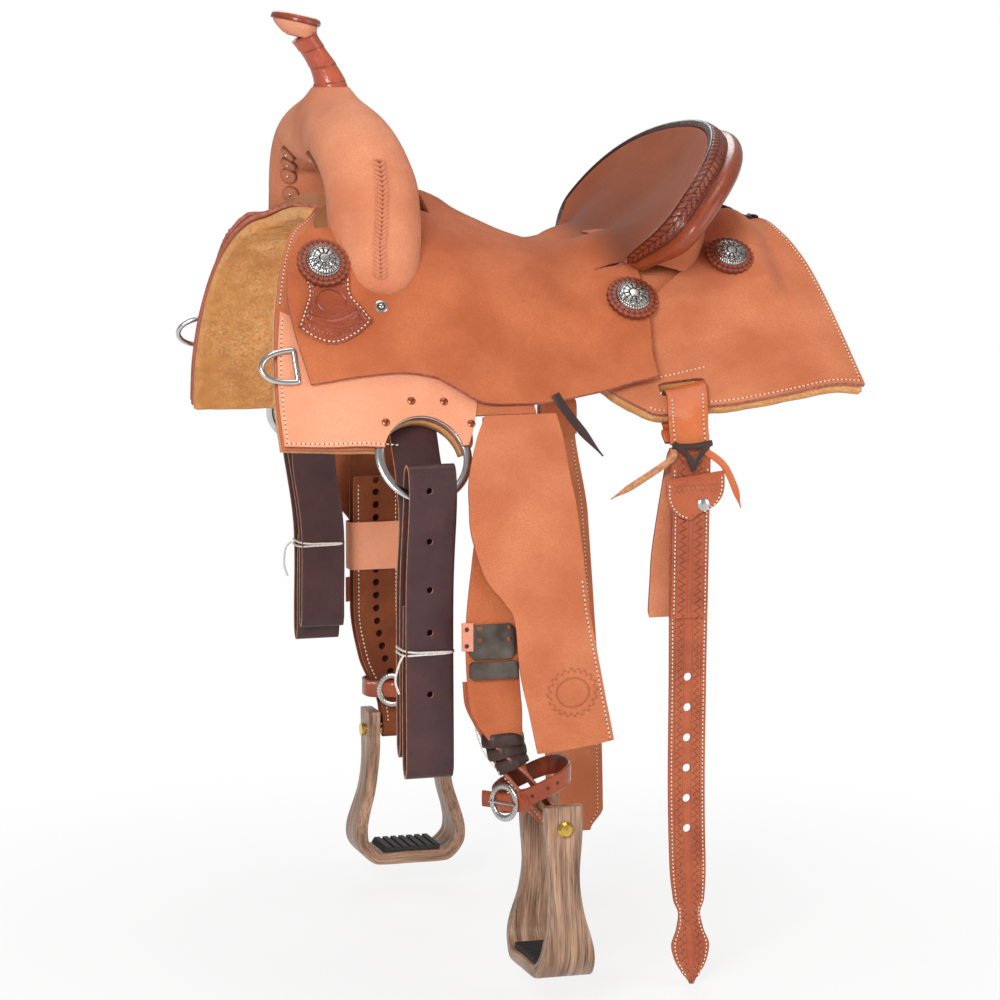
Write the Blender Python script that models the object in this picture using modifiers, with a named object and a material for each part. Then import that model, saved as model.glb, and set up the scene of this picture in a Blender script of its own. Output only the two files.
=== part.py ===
"""Barrel racing saddle: tree, leather, rigging and stirrups as separate parts.

Metres. +X runs to the rear, -Y to the near (left) side, +Y to the off side and +Z up. The origin
is on the centre plane, on top of the stand that carries the saddle, under the middle of the seat.

Every leather panel lies on one surface, the saddle surface. A place on it is (x, s, h): x along
the saddle, s the distance from the centre line down the side, and h the height above the skirt.
"""

import math

import bmesh
import bpy
from mathutils import Matrix, Vector

NEAR = -1
OFF = 1
SIDE_NAME = {NEAR: "near", OFF: "off"}

# The saddle surface: height of its spine, and the slope and shoulder of its sides along x
SPINE_HEIGHT = (
    (-0.32, 0.088), (-0.225, 0.0865), (-0.12, 0.060), (0.0, 0.024),
    (0.08, 0.014), (0.17, 0.028), (0.25, 0.052), (0.30, 0.060), (0.34, 0.056),
)
FLARE_DEGREES = ((-0.30, 70), (-0.15, 62), (0.0, 54), (0.15, 47), (0.30, 41))
SHOULDER = ((-0.30, 0.125), (0.0, 0.10), (0.15, 0.08), (0.30, 0.06))

# Layers on the saddle surface, as heights of the middle of each layer
LEATHER = 0.0045
SKIRT_MID = 0.5 * LEATHER
FLEECE_THICKNESS = 0.013
FLEECE_MID = -0.0082
RING_MID = 0.0069
RIG_LEAF_MID = 0.0113
RIG_LEAF_THICKNESS = 0.003
CHANNEL_MID = 0.0105
JOCKEY_MID = 0.0188
BAR_LOW = 0.0060
BAR_TOP = 0.0215
BAR_GAP = 0.0004
SEAT_OVER_BAR = 0.0095
REAR_SKIRT_RISE = 0.0230
BUILD_UP = 0.014

# Outlines on the surface, as (x, s)
SKIRT_FRONT = (
    (-0.218, 0.048), (-0.235, 0.080), (-0.258, 0.105), (-0.276, 0.145), (-0.289, 0.195),
    (-0.296, 0.245), (-0.299, 0.300), (-0.297, 0.348),
)
FRONT_HEM = (
    (-0.297, 0.348), (-0.258, 0.351), (-0.215, 0.353), (-0.154, 0.347), (-0.105, 0.332),
    (-0.097, 0.305), (-0.088, 0.270), (-0.080, 0.215), (-0.030, 0.205),
)
REAR_HEM = (
    (0.045, 0.215), (0.070, 0.233), (0.092, 0.250), (0.113, 0.264), (0.162, 0.268),
    (0.200, 0.278), (0.240, 0.288), (0.290, 0.292), (0.330, 0.292),
)
CANTLE_EDGE = (
    (0.213, 0.002), (0.212, 0.030), (0.206, 0.058), (0.194, 0.083), (0.176, 0.104),
    (0.152, 0.122), (0.130, 0.137), (0.118, 0.153), (0.112, 0.168), (0.098, 0.181),
    (0.070, 0.195), (0.045, 0.215),
)
SKIRT_REAR = (
    (0.296, 0.002), (0.300, 0.050), (0.309, 0.085), (0.317, 0.120), (0.322, 0.160),
    (0.325, 0.200), (0.327, 0.235), (0.330, 0.292),
)
JOCKEY_HEM = (
    (-0.280, 0.287), (-0.214, 0.279), (-0.150, 0.264), (-0.134, 0.263), (-0.109, 0.272),
    (-0.086, 0.280), (-0.045, 0.271), (-0.006, 0.260), (0.046, 0.242), (0.093, 0.228),
    (0.114, 0.226),
)
JOCKEY_FRONT = (
    (0.0, -0.225), (0.40, -0.229), (0.46, -0.258), (0.55, -0.274), (0.69, -0.280),
    (0.79, -0.277), (0.93, -0.269), (1.0, -0.265),
)
JOCKEY_REAR_X = 0.114
SEAT_PROFILE = (
    (-0.10, 0.1035), (-0.090, 0.101), (-0.074, 0.094), (-0.056, 0.082), (-0.028, 0.0685),
    (0.0, 0.056), (0.034, 0.0455), (0.069, 0.040), (0.12, 0.036),
)
SEAT_BACK_X = 0.080
FORK_BACK_X = -0.1315
HAND_HOLE_X = -0.098
SEAT_COLUMNS = (-0.117, HAND_HOLE_X, -0.078, -0.055, -0.030, -0.005, 0.020, 0.045, 0.064, SEAT_BACK_X, 0.097)
SEAT_ROWS = (0.0, 0.10, 0.19, 0.28, 0.36, 0.44, 0.53, 0.62, 0.71, 0.80, 0.90, 1.0)
HAND_HOLE_ROW = 0.19
GAP_ROW = 0.44

# Fork: half of its arch, as (y, z, tilt of the section, half length in x, half depth, centre x)
FORK_ARCH = (
    (0.0, 0.169, 90, 0.034, 0.038, -0.189), (0.062, 0.160, 55, 0.041, 0.0365, -0.186),
    (0.102, 0.138, 23, 0.044, 0.039, -0.1815), (0.122, 0.111, -7, 0.0455, 0.043, -0.1775),
    (0.129, 0.080, -25, 0.0455, 0.047, -0.1765), (0.134, 0.046, -41, 0.043, 0.044, -0.1765),
)
FORK_CORE_ARCH = (
    (0.0, 0.166, 90, 0.023, 0.024, -0.189), (0.062, 0.156, 55, 0.028, 0.023, -0.186),
    (0.100, 0.134, 23, 0.030, 0.024, -0.1815), (0.118, 0.108, -7, 0.030, 0.024, -0.1775),
    (0.123, 0.080, -28, 0.029, 0.022, -0.1765), (0.122, 0.054, -35, 0.026, 0.021, -0.1765),
)
CAGE_SWELL = 1.10
COVER_THICKNESS = 0.004

# Horn: centre line of its neck as (x, z, radius), and its oval cap
HORN_NECK = (
    (-0.189, 0.2115, 0.0175), (-0.1935, 0.2260, 0.0150), (-0.2030, 0.2435, 0.0125),
    (-0.2130, 0.2585, 0.0128),
)
HORN_FOOT = (0.1925, 0.0175, 0.2040)
HORN_HOLE_RADIUS = 0.0185
HORN_CAP_CENTRE = Vector((-0.226, 0.0, 0.285))
HORN_CAP_TILT = math.radians(12.6)
HORN_CAP_RINGS = (
    (-0.0165, 0.0130, 0.0150, 0.006), (-0.0125, 0.0190, 0.0220, 0.002),
    (-0.0080, 0.0248, 0.0300, 0.0), (-0.0030, 0.0258, 0.0315, 0.0), (0.0010, 0.0250, 0.0305, 0.0),
    (0.0030, 0.0200, 0.0250, 0.0),
)

# Cantle: its rim, dish and roll
CANTLE_END = Vector((0.0995, 0.0, 0.0285))
CANTLE_HEIGHT = 0.1425
CANTLE_RAKE = 0.1265
CANTLE_HALF_WIDTH = 0.176
CANTLE_END_WIDTH = 0.119
CANTLE_LAST_ANGLE = 78
DISH_SAG = 0.018
DISH_BACKWARD = Vector((0.68, 0.0, -0.73))
DISH_DEPTH = 0.0035
BOARD_DEPTH = 0.0069
ROLL_WIDTH = 0.019
ROLL_THICKNESS = 0.0075

# Rigging
RING_CENTRE = (-0.154, 0.351)
RING_RADIUS = 0.0465
RING_BAR = 0.0047
ARCH_RADIUS = 0.0425
DEE_BAR_TOP = (-0.2795, 0.247)
DEE_LENGTH = 0.034
DEE_REACH = 0.036
DEE_WIRE = 0.0028
DEE_HEIGHT = 0.0162
SLOT_CENTRE = (0.142, 0.237)
SLOT_SIZE = (0.050, 0.018)
NEAR_BILLET_LEAN = 0.008
STRAP = 0.003
LATIGO_WIDTH = 0.050
BILLET_WIDTH = 0.044
FLANK_CINCH_WIDTH = 0.070

# Stirrup leathers, fenders and stirrups
HANGER_X = -0.058
HANGER_TOP = 0.116
FENDER_HINGE = (0.218, -0.120)
FENDER_OUT = 0.072
FENDER_RUN = 0.150
LEATHER_WIDTH = 0.056
LEATHER_LAYER = 0.0085
FENDER_LEATHER = 0.0035
FENDER_OFFSET = 0.0050
NECK_CLEARANCE = 0.0012
BLADE_ROWS = (
    (-0.1270, -0.082, -0.008), (-0.145, -0.099, -0.006), (-0.180, -0.115, -0.008),
    (-0.208, -0.121, -0.0075), (-0.237, -0.122, -0.007), (-0.274, -0.110, -0.004),
    (-0.300, -0.090, -0.001), (-0.320, -0.079, 0.002), (-0.376, -0.073, 0.013), (-0.418, -0.063, 0.021),
    (-0.452, -0.054, 0.028),
)
NEAR_SPINE = (
    (-0.1215, -0.058), (-0.18, -0.072), (-0.26, -0.093), (-0.34, -0.100), (-0.40, -0.097),
    (-0.45, -0.084), (-0.49, -0.064), (-0.535, -0.031),
)
OFF_SPINE = (
    (-0.1215, -0.058), (-0.22, -0.064), (-0.40, -0.064), (-0.46, -0.055), (-0.515, -0.034), (-0.545, -0.031),
)
BOLT_Z = {NEAR: -0.535, OFF: -0.545}
SLEEVE_DROP = 0.029
SLEEVE_CLEARANCE = 0.0030
STIRRUP_WOOD = 0.014
STIRRUP_BOTTOM = -0.1500
HOBBLE_Z = -0.495
HOBBLE_HEIGHT = 0.020
HOBBLE_STRAP = 0.0028
HOBBLE_SIZE = {NEAR: (0.036, 0.036, 0.42), OFF: (0.0375, 0.0205, 0.0)}
BOLT_RADIUS = 0.0042
BOLT_HEAD_RADIUS = 0.0085
NUT_RADIUS = 0.0075
ROLLER_RADIUS = 0.0060
ROLLER_LENGTH = 0.057
STIRRUP_PATH = (
    (0.0420, 0.023), (0.0420, 0.0), (0.0425, -0.035), (0.0470, -0.070), (0.0555, -0.100),
    (0.0590, -0.118), (0.0570, -0.134), (0.0450, -0.1475), (0.0330, STIRRUP_BOTTOM), (0.0, STIRRUP_BOTTOM),
)
STIRRUP_DEPTH = (
    (-0.150, 0.062), (-0.125, 0.054), (-0.085, 0.036), (-0.055, 0.032), (-0.015, 0.038), (0.023, 0.042),
)

COLORS = {
    "rough_leather": ((0.57, 0.235, 0.115), 0.92, 0.0), "light_leather": ((0.74, 0.39, 0.215), 0.8, 0.0),
    "tooled_leather": ((0.38, 0.10, 0.032), 0.35, 0.0), "dark_leather": ((0.055, 0.022, 0.025), 0.5, 0.0),
    "fleece": ((0.60, 0.31, 0.09), 1.0, 0.0), "wood": ((0.16, 0.095, 0.05), 0.6, 0.0),
    "tree_wood": ((0.50, 0.36, 0.20), 0.7, 0.0), "steel": ((0.72, 0.72, 0.73), 0.2, 1.0),
    "dark_steel": ((0.20, 0.18, 0.17), 0.4, 1.0), "brass": ((0.75, 0.55, 0.20), 0.3, 1.0),
    "rubber": ((0.02, 0.02, 0.02), 0.8, 0.0), "silver": ((0.66, 0.65, 0.63), 0.3, 1.0),
}


def blend(value, points):
    """A smooth curve through (place, height) points, with no overshoot and flat outside them."""
    if value <= points[0][0]:
        return points[0][1]
    if value >= points[-1][0]:
        return points[-1][1]
    slopes = [
        (b[1] - a[1]) / (b[0] - a[0]) for a, b in zip(points, points[1:])
    ]
    tangents = [slopes[0]]
    for before, after in zip(slopes, slopes[1:]):
        steady = before * after > 0
        tangents.append(2 * before * after / (before + after) if steady else 0.0)
    tangents.append(slopes[-1])
    index = max(i for i in range(len(slopes)) if points[i][0] <= value)
    step = points[index + 1][0] - points[index][0]
    t = (value - points[index][0]) / step
    return (
        (2 * t**3 - 3 * t**2 + 1) * points[index][1]
        + (t**3 - 2 * t**2 + t) * step * tangents[index]
        + (3 * t**2 - 2 * t**3) * points[index + 1][1]
        + (t**3 - t**2) * step * tangents[index + 1]
    )


def ease(value, start, end):
    """0 before start, 1 after end, and a smooth step between."""
    t = min(1.0, max(0.0, (value - start) / (end - start)))
    return t * t * (3 - 2 * t)


def slope_at(x, s):
    flare = math.radians(blend(x, FLARE_DEGREES))
    return flare * (1 - math.exp(-((abs(s) / blend(x, SHOULDER)) ** 2)))


def surface(x, s, h=0.0):
    """The point (x, s, h) of the saddle surface: s is negative on the near side."""
    steps = 40
    length = abs(s) / steps
    y = 0.0
    z = blend(x, SPINE_HEIGHT)
    for index in range(steps):
        slope = slope_at(x, (index + 0.5) * length)
        y += math.cos(slope) * length
        z -= math.sin(slope) * length
    slope = slope_at(x, s)
    side = NEAR if s < 0 else OFF
    return Vector((x, side * (y + math.sin(slope) * h), z + math.cos(slope) * h))


def surface_frame(x, s, h):
    """A frame on the surface: local X along the saddle and local Z straight out of the leather."""
    slope = slope_at(x, s)
    side = NEAR if s < 0 else OFF
    across = Vector((0, math.cos(slope), -side * math.sin(slope)))
    out = Vector((0, side * math.sin(slope), math.cos(slope)))
    frame = Matrix((Vector((1, 0, 0)), across, out)).transposed().to_4x4()
    frame.translation = surface(x, s, h)
    return frame


def build_up(x, s=0.0):
    """How much higher the tree stands under the wide back of the seat."""
    along = ease(x, 0.03, 0.09) * (1 - ease(x, 0.13, 0.22))
    return BUILD_UP * along * (1 - ease(abs(s), 0.150, 0.200))


def seat_height(x, s):
    side_height = JOCKEY_MID + SEAT_OVER_BAR * (1 - ease(abs(s), 0.148, 0.198)) + build_up(x, s)
    centre = blend(x, SEAT_PROFILE) - SKIRT_MID - blend(x, SPINE_HEIGHT)
    mix = ease(abs(s), 0.0, 0.068)
    return centre * (1 - mix) + side_height * mix


def rear_skirt_height(x, s):
    over_bar = (REAR_SKIRT_RISE + build_up(x)) * (1 - ease(abs(s), 0.143, 0.190))
    near_spine = 0.5 + 0.5 * ease(abs(s), 0.0, 0.045)
    return SKIRT_MID + over_bar * near_spine * (1 - ease(x, 0.25, 0.285))


def fender_y(z):
    """How far out the fender's leather hangs at this height."""
    fall = min(1.0, max(0.0, (FENDER_HINGE[1] - z) / FENDER_RUN))
    return FENDER_HINGE[0] + FENDER_OUT * math.sin(fall * math.pi / 2) - 0.010 * ease(-z, 0.42, 0.54)


def leather_spread(z):
    """How far each layer of the stirrup leather lies from their middle."""
    return LEATHER_LAYER * ease(-z, 0.13, 0.22)


def material(key):
    found = bpy.data.materials.get(key)
    if found:
        return found
    color, roughness, metallic = COLORS[key]
    made = bpy.data.materials.new(key)
    made.use_nodes = True
    shader = made.node_tree.nodes["Principled BSDF"]
    shader.inputs["Base Color"].default_value = (*color, 1.0)
    shader.inputs["Roughness"].default_value = roughness
    shader.inputs["Metallic"].default_value = metallic
    made.diffuse_color = (*color, 1.0)
    return made


def new_collection(name):
    made = bpy.data.collections.new(name)
    bpy.context.scene.collection.children.link(made)
    return made


def add_object(name, data, key, frame=None):
    made = bpy.data.objects.new(name, data)
    PARTS.objects.link(made)
    made.data.materials.append(material(key))
    if frame is not None:
        made.matrix_world = frame
    return made


def finish_mesh(name, mesh_data, key, frame=None, smooth_degrees=35):
    """Turns a bmesh into an object, its faces pointing out, its flat edges kept sharp."""
    bmesh.ops.recalc_face_normals(mesh_data, faces=mesh_data.faces)
    mesh = bpy.data.meshes.new(name)
    mesh_data.to_mesh(mesh)
    mesh_data.free()
    mesh.shade_smooth()
    mesh.set_sharp_from_angle(angle=math.radians(smooth_degrees))
    return add_object(name, mesh, key, frame)


def thicken(made, thickness):
    solid = made.modifiers.new("Thickness", "SOLIDIFY")
    solid.thickness = thickness
    solid.offset = 0.0
    solid.use_even_offset = True
    return made


def sheet(name, columns, rows, place, thickness, key):
    """A panel of leather: a grid bent by place(u, v) and given its thickness."""
    mesh_data = bmesh.new()
    bmesh.ops.create_grid(mesh_data, x_segments=columns, y_segments=rows, size=0.5)
    for vertex in mesh_data.verts:
        vertex.co = place(vertex.co.x + 0.5, vertex.co.y + 0.5)
    return thicken(finish_mesh(name, mesh_data, key), thickness)


def ribbon(name, centres, half_widths, thickness, key):
    """A strap: its middle runs through centres, half_widths are the vectors to its edge."""
    last = len(centres) - 1

    def place(u, v):
        index = round(u * last)
        return centres[index] + half_widths[index] * (2 * v - 1)

    return sheet(name, last, 1, place, thickness, key)


def strap(name, edges, count, thickness, key):
    """A strap between two edges, each a list of points on a smooth curve."""
    left, right = through(edges[0], count), through(edges[1], count)

    def place(u, v):
        index = round(u * (count - 1))
        return left[index].lerp(right[index], v)

    return sheet(name, count - 1, 1, place, thickness, key)


def skin(mesh_data, rings, capped):
    """Faces between closed rings of points, one after the other."""
    made = [[mesh_data.verts.new(point) for point in ring] for ring in rings]
    count = len(rings[0])
    for ring, following in zip(made, made[1:]):
        for index in range(count):
            after = (index + 1) % count
            mesh_data.faces.new((ring[index], ring[after], following[after], following[index]))
    if capped:
        mesh_data.faces.new(made[0])
        mesh_data.faces.new(reversed(made[-1]))
    return made


def loft(name, rings, key, frame=None, capped=True, looped=False):
    """A solid through closed rings of points, or a closed loop of them."""
    mesh_data = bmesh.new()
    made = skin(mesh_data, rings, capped and not looped)
    if looped:
        count = len(rings[0])
        for index in range(count):
            after = (index + 1) % count
            mesh_data.faces.new((made[-1][index], made[-1][after], made[0][after], made[0][index]))
    return finish_mesh(name, mesh_data, key, frame)


def turned(name, profile, key, frame, steps=18):
    """A turned solid: profile is (radius, height), from the top of the axis to its bottom."""
    mesh = bpy.data.meshes.new(name)
    points = [(radius, 0, height) for radius, height in profile]
    edges = [(index, index + 1) for index in range(len(points) - 1)]
    mesh.from_pydata(points, edges, [])
    made = add_object(name, mesh, key, frame)
    screw = made.modifiers.new("Turned", "SCREW")
    screw.steps = steps
    screw.render_steps = steps
    screw.use_merge_vertices = True
    screw.merge_threshold = 0.00001
    screw.use_smooth_shade = True
    return made


def wire(name, points, radius, key, cyclic=False):
    """A round wire through the points."""
    data = bpy.data.curves.new(name, "CURVE")
    data.dimensions = "3D"
    data.bevel_depth = radius
    data.bevel_resolution = 1
    data.use_fill_caps = True
    spline = data.splines.new("POLY")
    spline.points.add(len(points) - 1)
    for target, point in zip(spline.points, points):
        target.co = (*point, 1)
    spline.use_cyclic_u = cyclic
    return add_object(name, data, key)


def through(points, count):
    """count points, evenly spaced along a smooth curve through these points."""
    fine = []
    for index in range(len(points) - 1):
        before = points[max(index - 1, 0)]
        start, end = points[index], points[index + 1]
        after = points[min(index + 2, len(points) - 1)]
        for step in range(12):
            t = step / 12
            fine.append(
                0.5 * (
                    2 * start + (end - before) * t
                    + (2 * before - 5 * start + 4 * end - after) * t**2
                    + (3 * start - before - 3 * end + after) * t**3
                )
            )
    fine.append(points[-1].copy())
    lengths = [0.0]
    for a, b in zip(fine, fine[1:]):
        lengths.append(lengths[-1] + (b - a).length)
    found = []
    index = 0
    for step in range(count):
        target = lengths[-1] * step / (count - 1)
        while index < len(fine) - 2 and lengths[index + 1] < target:
            index += 1
        gap = lengths[index + 1] - lengths[index]
        found.append(fine[index].lerp(fine[index + 1], (target - lengths[index]) / gap))
    return found


def cutter_box(name, size, frame):
    mesh_data = bmesh.new()
    bmesh.ops.create_cube(mesh_data, size=1.0)
    bmesh.ops.scale(mesh_data, vec=size, verts=mesh_data.verts)
    return add_cutter(name, mesh_data, frame)


def cutter_rod(name, radius, length, frame, sides=32):
    mesh_data = bmesh.new()
    bmesh.ops.create_cone(
        mesh_data, cap_ends=True, segments=sides, radius1=radius, radius2=radius, depth=length
    )
    return add_cutter(name, mesh_data, frame)


def add_cutter(name, mesh_data, frame):
    mesh = bpy.data.meshes.new(name)
    mesh_data.to_mesh(mesh)
    mesh_data.free()
    made = bpy.data.objects.new(name, mesh)
    made.matrix_world = frame
    made.hide_render = True
    made.display_type = "WIRE"
    CUTTERS.objects.link(made)
    return made


def cut(target, cutter):
    boolean = target.modifiers.new("Cut " + cutter.name, "BOOLEAN")
    boolean.operation = "DIFFERENCE"
    boolean.object = cutter


def outline_at(points, fraction):
    """The point at this fraction of the way along a list of (x, s) points, counted by point."""
    place = fraction * (len(points) - 1)
    index = min(int(place), len(points) - 2)
    part = place - index
    a, b = points[index], points[index + 1]
    return (a[0] + (b[0] - a[0]) * part, a[1] + (b[1] - a[1]) * part)


def patch(top, bottom, front, rear, u, v):
    """The point of a four-sided patch on the surface, whose sides are lists of (x, s)."""
    t, b = outline_at(top, u), outline_at(bottom, u)
    f, r = outline_at(front, v), outline_at(rear, v)
    return tuple(
        (1 - v) * t[k] + v * b[k] + (1 - u) * f[k] + u * r[k]
        - (1 - u) * (1 - v) * front[0][k] - u * (1 - v) * rear[0][k]
        - (1 - u) * v * front[-1][k] - u * v * rear[-1][k]
        for k in (0, 1)
    )


# Tree


def bar_top(x, part=1.0):
    """Height of the top of a bar over the saddle surface."""
    return BAR_LOW + (BAR_TOP - BAR_LOW) * part + build_up(x) * min(part, 1.0)


def bar_solid(side, grow=0.0):
    """The sections of one bar, or of the space round it when it is grown."""
    stations = (
        (-0.232, 0.092, 0.122, 0.30), (-0.212, 0.066, 0.128, 0.60), (-0.190, 0.056, 0.130, 0.90),
        (-0.150, 0.054, 0.132, 1), (-0.104, 0.055, 0.130, 1), (-0.102, 0.055, 0.106, 1),
        (-0.060, 0.055, 0.106, 1), (-0.014, 0.055, 0.106, 1), (-0.012, 0.055, 0.138, 1),
        (0.045, 0.053, 0.139, 1), (0.085, 0.052, 0.138, 1), (0.130, 0.052, 0.136, 1),
        (0.175, 0.053, 0.132, 1), (0.220, 0.060, 0.126, 0.85), (0.250, 0.078, 0.116, 0.35),
    )
    steps = 4
    rings = []
    for x, inner, outer, part in stations:
        across = [inner - grow + (outer - inner + 2 * grow) * index / steps for index in range(steps + 1)]
        low = BAR_LOW - grow * 4
        top = bar_top(x, part) + grow
        ring = [surface(x, side * s, low) for s in across]
        rings.append(ring + [surface(x, side * s, top) for s in reversed(across)])
    return rings


def space_cutter(name, rings):
    mesh_data = bmesh.new()
    skin(mesh_data, rings, True)
    bmesh.ops.recalc_face_normals(mesh_data, faces=mesh_data.faces)
    return add_cutter(name, mesh_data, Matrix())


def bar_space(side):
    """A cutter a hair larger than the bar, for what stands on it."""
    return space_cutter(SIDE_NAME[side] + "_bar_space", bar_solid(side, BAR_GAP))


def seat_space(side):
    """A cutter as deep as the seat leather beside the fork, so that the fork's cover ends on it."""
    rings = []
    for column in range(13):
        x = -0.245 + 0.010 * column
        across = [0.110 + 0.0125 * row for row in range(10)]
        top = [surface(x, side * s, seat_height(x, s) + 0.5 * LEATHER + 0.0009) for s in across]
        low = [surface(x, side * s, -0.02) for s in reversed(across)]
        rings.append(top + low)
    return space_cutter(SIDE_NAME[side] + "_seat_space", rings)


def add_bar(side):
    """One wooden bar of the tree, notched where the stirrup leather hangs."""
    loft(f"{SIDE_NAME[side]}_tree_bar", bar_solid(side), "tree_wood")


def fork_ring(station, points=8):
    y, z, tilt, half_x, half_depth, x = station
    angle = math.radians(tilt)
    ring = []
    for index in range(points):
        turn = 2 * math.pi * (index + 0.5) / points
        along = CAGE_SWELL * half_x * math.cos(turn)
        out = CAGE_SWELL * half_depth * math.sin(turn)
        ring.append(Vector((x + along, y + out * math.cos(angle), z + out * math.sin(angle))))
    return ring


def add_arch(name, stations, key, closed_foot):
    """Half of an arch over the centre plane, mirrored to the near side and smoothed."""
    mesh_data = bmesh.new()
    made = skin(mesh_data, [fork_ring(station) for station in stations], False)
    if closed_foot:
        mesh_data.faces.new(reversed(made[-1]))
    arch = finish_mesh(name, mesh_data, key)
    mirror = arch.modifiers.new("Both sides", "MIRROR")
    mirror.use_axis = (False, True, False)
    mirror.merge_threshold = 0.00001
    smooth = arch.modifiers.new("Smooth", "SUBSURF")
    smooth.levels = 1
    smooth.render_levels = 1
    return arch


def neck_ring(x, z, radius, tilt, sides):
    ring = []
    for index in range(sides):
        turn = 2 * math.pi * index / sides
        ring.append(Vector((
            x + radius * math.cos(turn) * math.cos(tilt), radius * math.sin(turn),
            z + radius * math.cos(turn) * math.sin(tilt),
        )))
    return ring


def neck_tilts():
    """The tilt of each section of the horn's neck, square to the neck."""
    tilts = []
    for index in range(len(HORN_NECK)):
        before = HORN_NECK[max(index - 1, 0)]
        after = HORN_NECK[min(index + 1, len(HORN_NECK) - 1)]
        tilts.append(math.atan2(before[0] - after[0], after[1] - before[1]))
    return tilts


def add_horn():
    sides = 14
    tilts = neck_tilts()
    wrap = [
        neck_ring(x, z, radius - 0.5 * STRAP, tilt, sides)
        for (x, z, radius), tilt in zip(HORN_NECK, tilts)
    ]
    thicken(loft("horn_wrap", wrap, "tooled_leather", capped=False), STRAP)

    inside = STRAP + 0.0006
    foot_low, foot_radius, foot_high = HORN_FOOT
    neck_x = HORN_NECK[0][0]
    core = [neck_ring(neck_x, z, foot_radius, 0, sides) for z in (foot_low, foot_high)]
    core.append(neck_ring(neck_x, foot_high + 0.001, foot_radius - inside, 0, sides))
    core += [
        neck_ring(x, z, radius - inside, tilt, sides)
        for (x, z, radius), tilt in zip(HORN_NECK, tilts)
    ]
    loft("horn_core", core, "dark_steel")

    cap_sides = 20
    rings = []
    for height, half_x, half_y, shift in HORN_CAP_RINGS:
        rings.append([
            Vector((
                shift + half_x * math.cos(2 * math.pi * index / cap_sides),
                half_y * math.sin(2 * math.pi * index / cap_sides), height,
            ))
            for index in range(cap_sides)
        ])
    frame = Matrix.Translation(HORN_CAP_CENTRE) @ Matrix.Rotation(HORN_CAP_TILT, 4, "Y")
    loft("horn_cap", rings, "tooled_leather", frame)


def add_fork(bar_spaces):
    core = add_arch("fork_core", FORK_CORE_ARCH, "tree_wood", True)
    cover = add_arch("fork_cover", FORK_ARCH, "rough_leather", False)
    thicken(cover, COVER_THICKNESS)
    for space in bar_spaces:
        cut(core, space)
        cut(cover, space)
    for side in (NEAR, OFF):
        space = seat_space(side)
        cut(core, space)
        cut(cover, space)
    hole = Matrix.Translation((HORN_NECK[0][0], 0, 0.203))
    cut(cover, cutter_rod("horn_hole", HORN_HOLE_RADIUS, 0.034, hole, 24))
    add_horn()


def cantle_rim(angle):
    """The rim of the cantle's dish, from its near end at -90 degrees to its off end at 90."""
    rise = max(0.0, math.cos(math.radians(angle)))
    widen = math.sin(min(1.0, rise / 0.36) * math.pi / 2)
    half_width = CANTLE_END_WIDTH + (CANTLE_HALF_WIDTH - CANTLE_END_WIDTH) * widen
    y = half_width * math.sqrt(1 - rise**3.5)
    x = CANTLE_END.x + CANTLE_RAKE * (1 - (1 - rise) ** 0.8)
    return Vector((x, math.copysign(y, angle), CANTLE_END.z + CANTLE_HEIGHT * rise**0.9))


def cantle_base(angle):
    """Where the dish meets the seat."""
    turn = math.sin(math.radians(angle))
    x = SEAT_BACK_X + 0.007 + 0.011 * turn**4
    s = 0.098 * turn
    return surface(x, s, seat_height(x, s))


def dish(angle, v, depth=0.0):
    """The cantle's dished face: v is 0 at the rim and 1 at the seat, depth is into the wood."""
    point = cantle_rim(angle).lerp(cantle_base(angle), v)
    sag = DISH_SAG * math.sin(math.pi * v) * math.cos(math.radians(angle))
    return point + DISH_BACKWARD * (sag + depth)


def roll_frame(angle):
    """(outward, up) directions of the cantle's roll at this angle."""
    ahead = cantle_rim(angle + 1.0) - cantle_rim(angle - 1.0)
    turn = math.sin(math.radians(angle))
    outward = Vector((0.62, 0.55 * turn, -0.45))
    outward -= ahead.normalized() * outward.dot(ahead.normalized())
    outward.normalize()
    up = ahead.cross(outward).normalized()
    return outward, up if up.z > 0 else -up


def cantle_foot(angle, back):
    """A point under the cantle board, on top of the bars: back is 0 in front and 1 behind."""
    turn = math.sin(math.radians(angle))
    level = math.cos(math.radians(angle))
    x = SEAT_BACK_X + 0.018 + (0.034 + 0.072 * level) * back
    s = (0.088 + 0.014 * back) * turn
    return surface(x, s, bar_top(x) + 0.0013)


def add_cantle():
    angles = [(CANTLE_LAST_ANGLE - 3) * (index / 6 - 1) for index in range(13)]
    rings = []
    for angle in angles:
        rim_back = cantle_rim(angle) + Vector((0.004, 0, -0.014))
        back_foot = cantle_foot(angle, 1)
        front = [dish(angle, height, BOARD_DEPTH) for height in (0.06, 0.20, 0.35, 0.50, 0.65, 0.78, 0.90)]
        rings.append(front + [
            cantle_foot(angle, 0), cantle_foot(angle, 0.5), back_foot,
            back_foot.lerp(rim_back, 0.5) + Vector((0.006, 0, 0)), rim_back,
        ])
    loft("cantle_board", rings, "tree_wood")

    def face(u, v):
        angle = CANTLE_LAST_ANGLE * (2 * u - 1)
        return dish(angle, 0.045 + 0.90 * v, DISH_DEPTH)

    sheet("cantle_dish", 14, 5, face, 0.004, "rough_leather")

    rings = []
    stations = 21
    for index in range(stations):
        angle = 88 * (2 * index / (stations - 1) - 1)
        thin = 0.45 + 0.55 * ease(90 - abs(angle), 0, 45)
        outward, up = roll_frame(angle)
        centre = cantle_rim(angle) + outward * (ROLL_WIDTH * thin + 0.0038) - up * 0.0015
        rings.append([
            centre + outward * ROLL_WIDTH * thin * math.cos(turn)
            + up * ROLL_THICKNESS * thin * math.sin(turn)
            for turn in (2 * math.pi * corner / 10 for corner in range(10))
        ])
    loft("cantle_binding", rings, "tooled_leather")


# Leather on the tree


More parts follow.
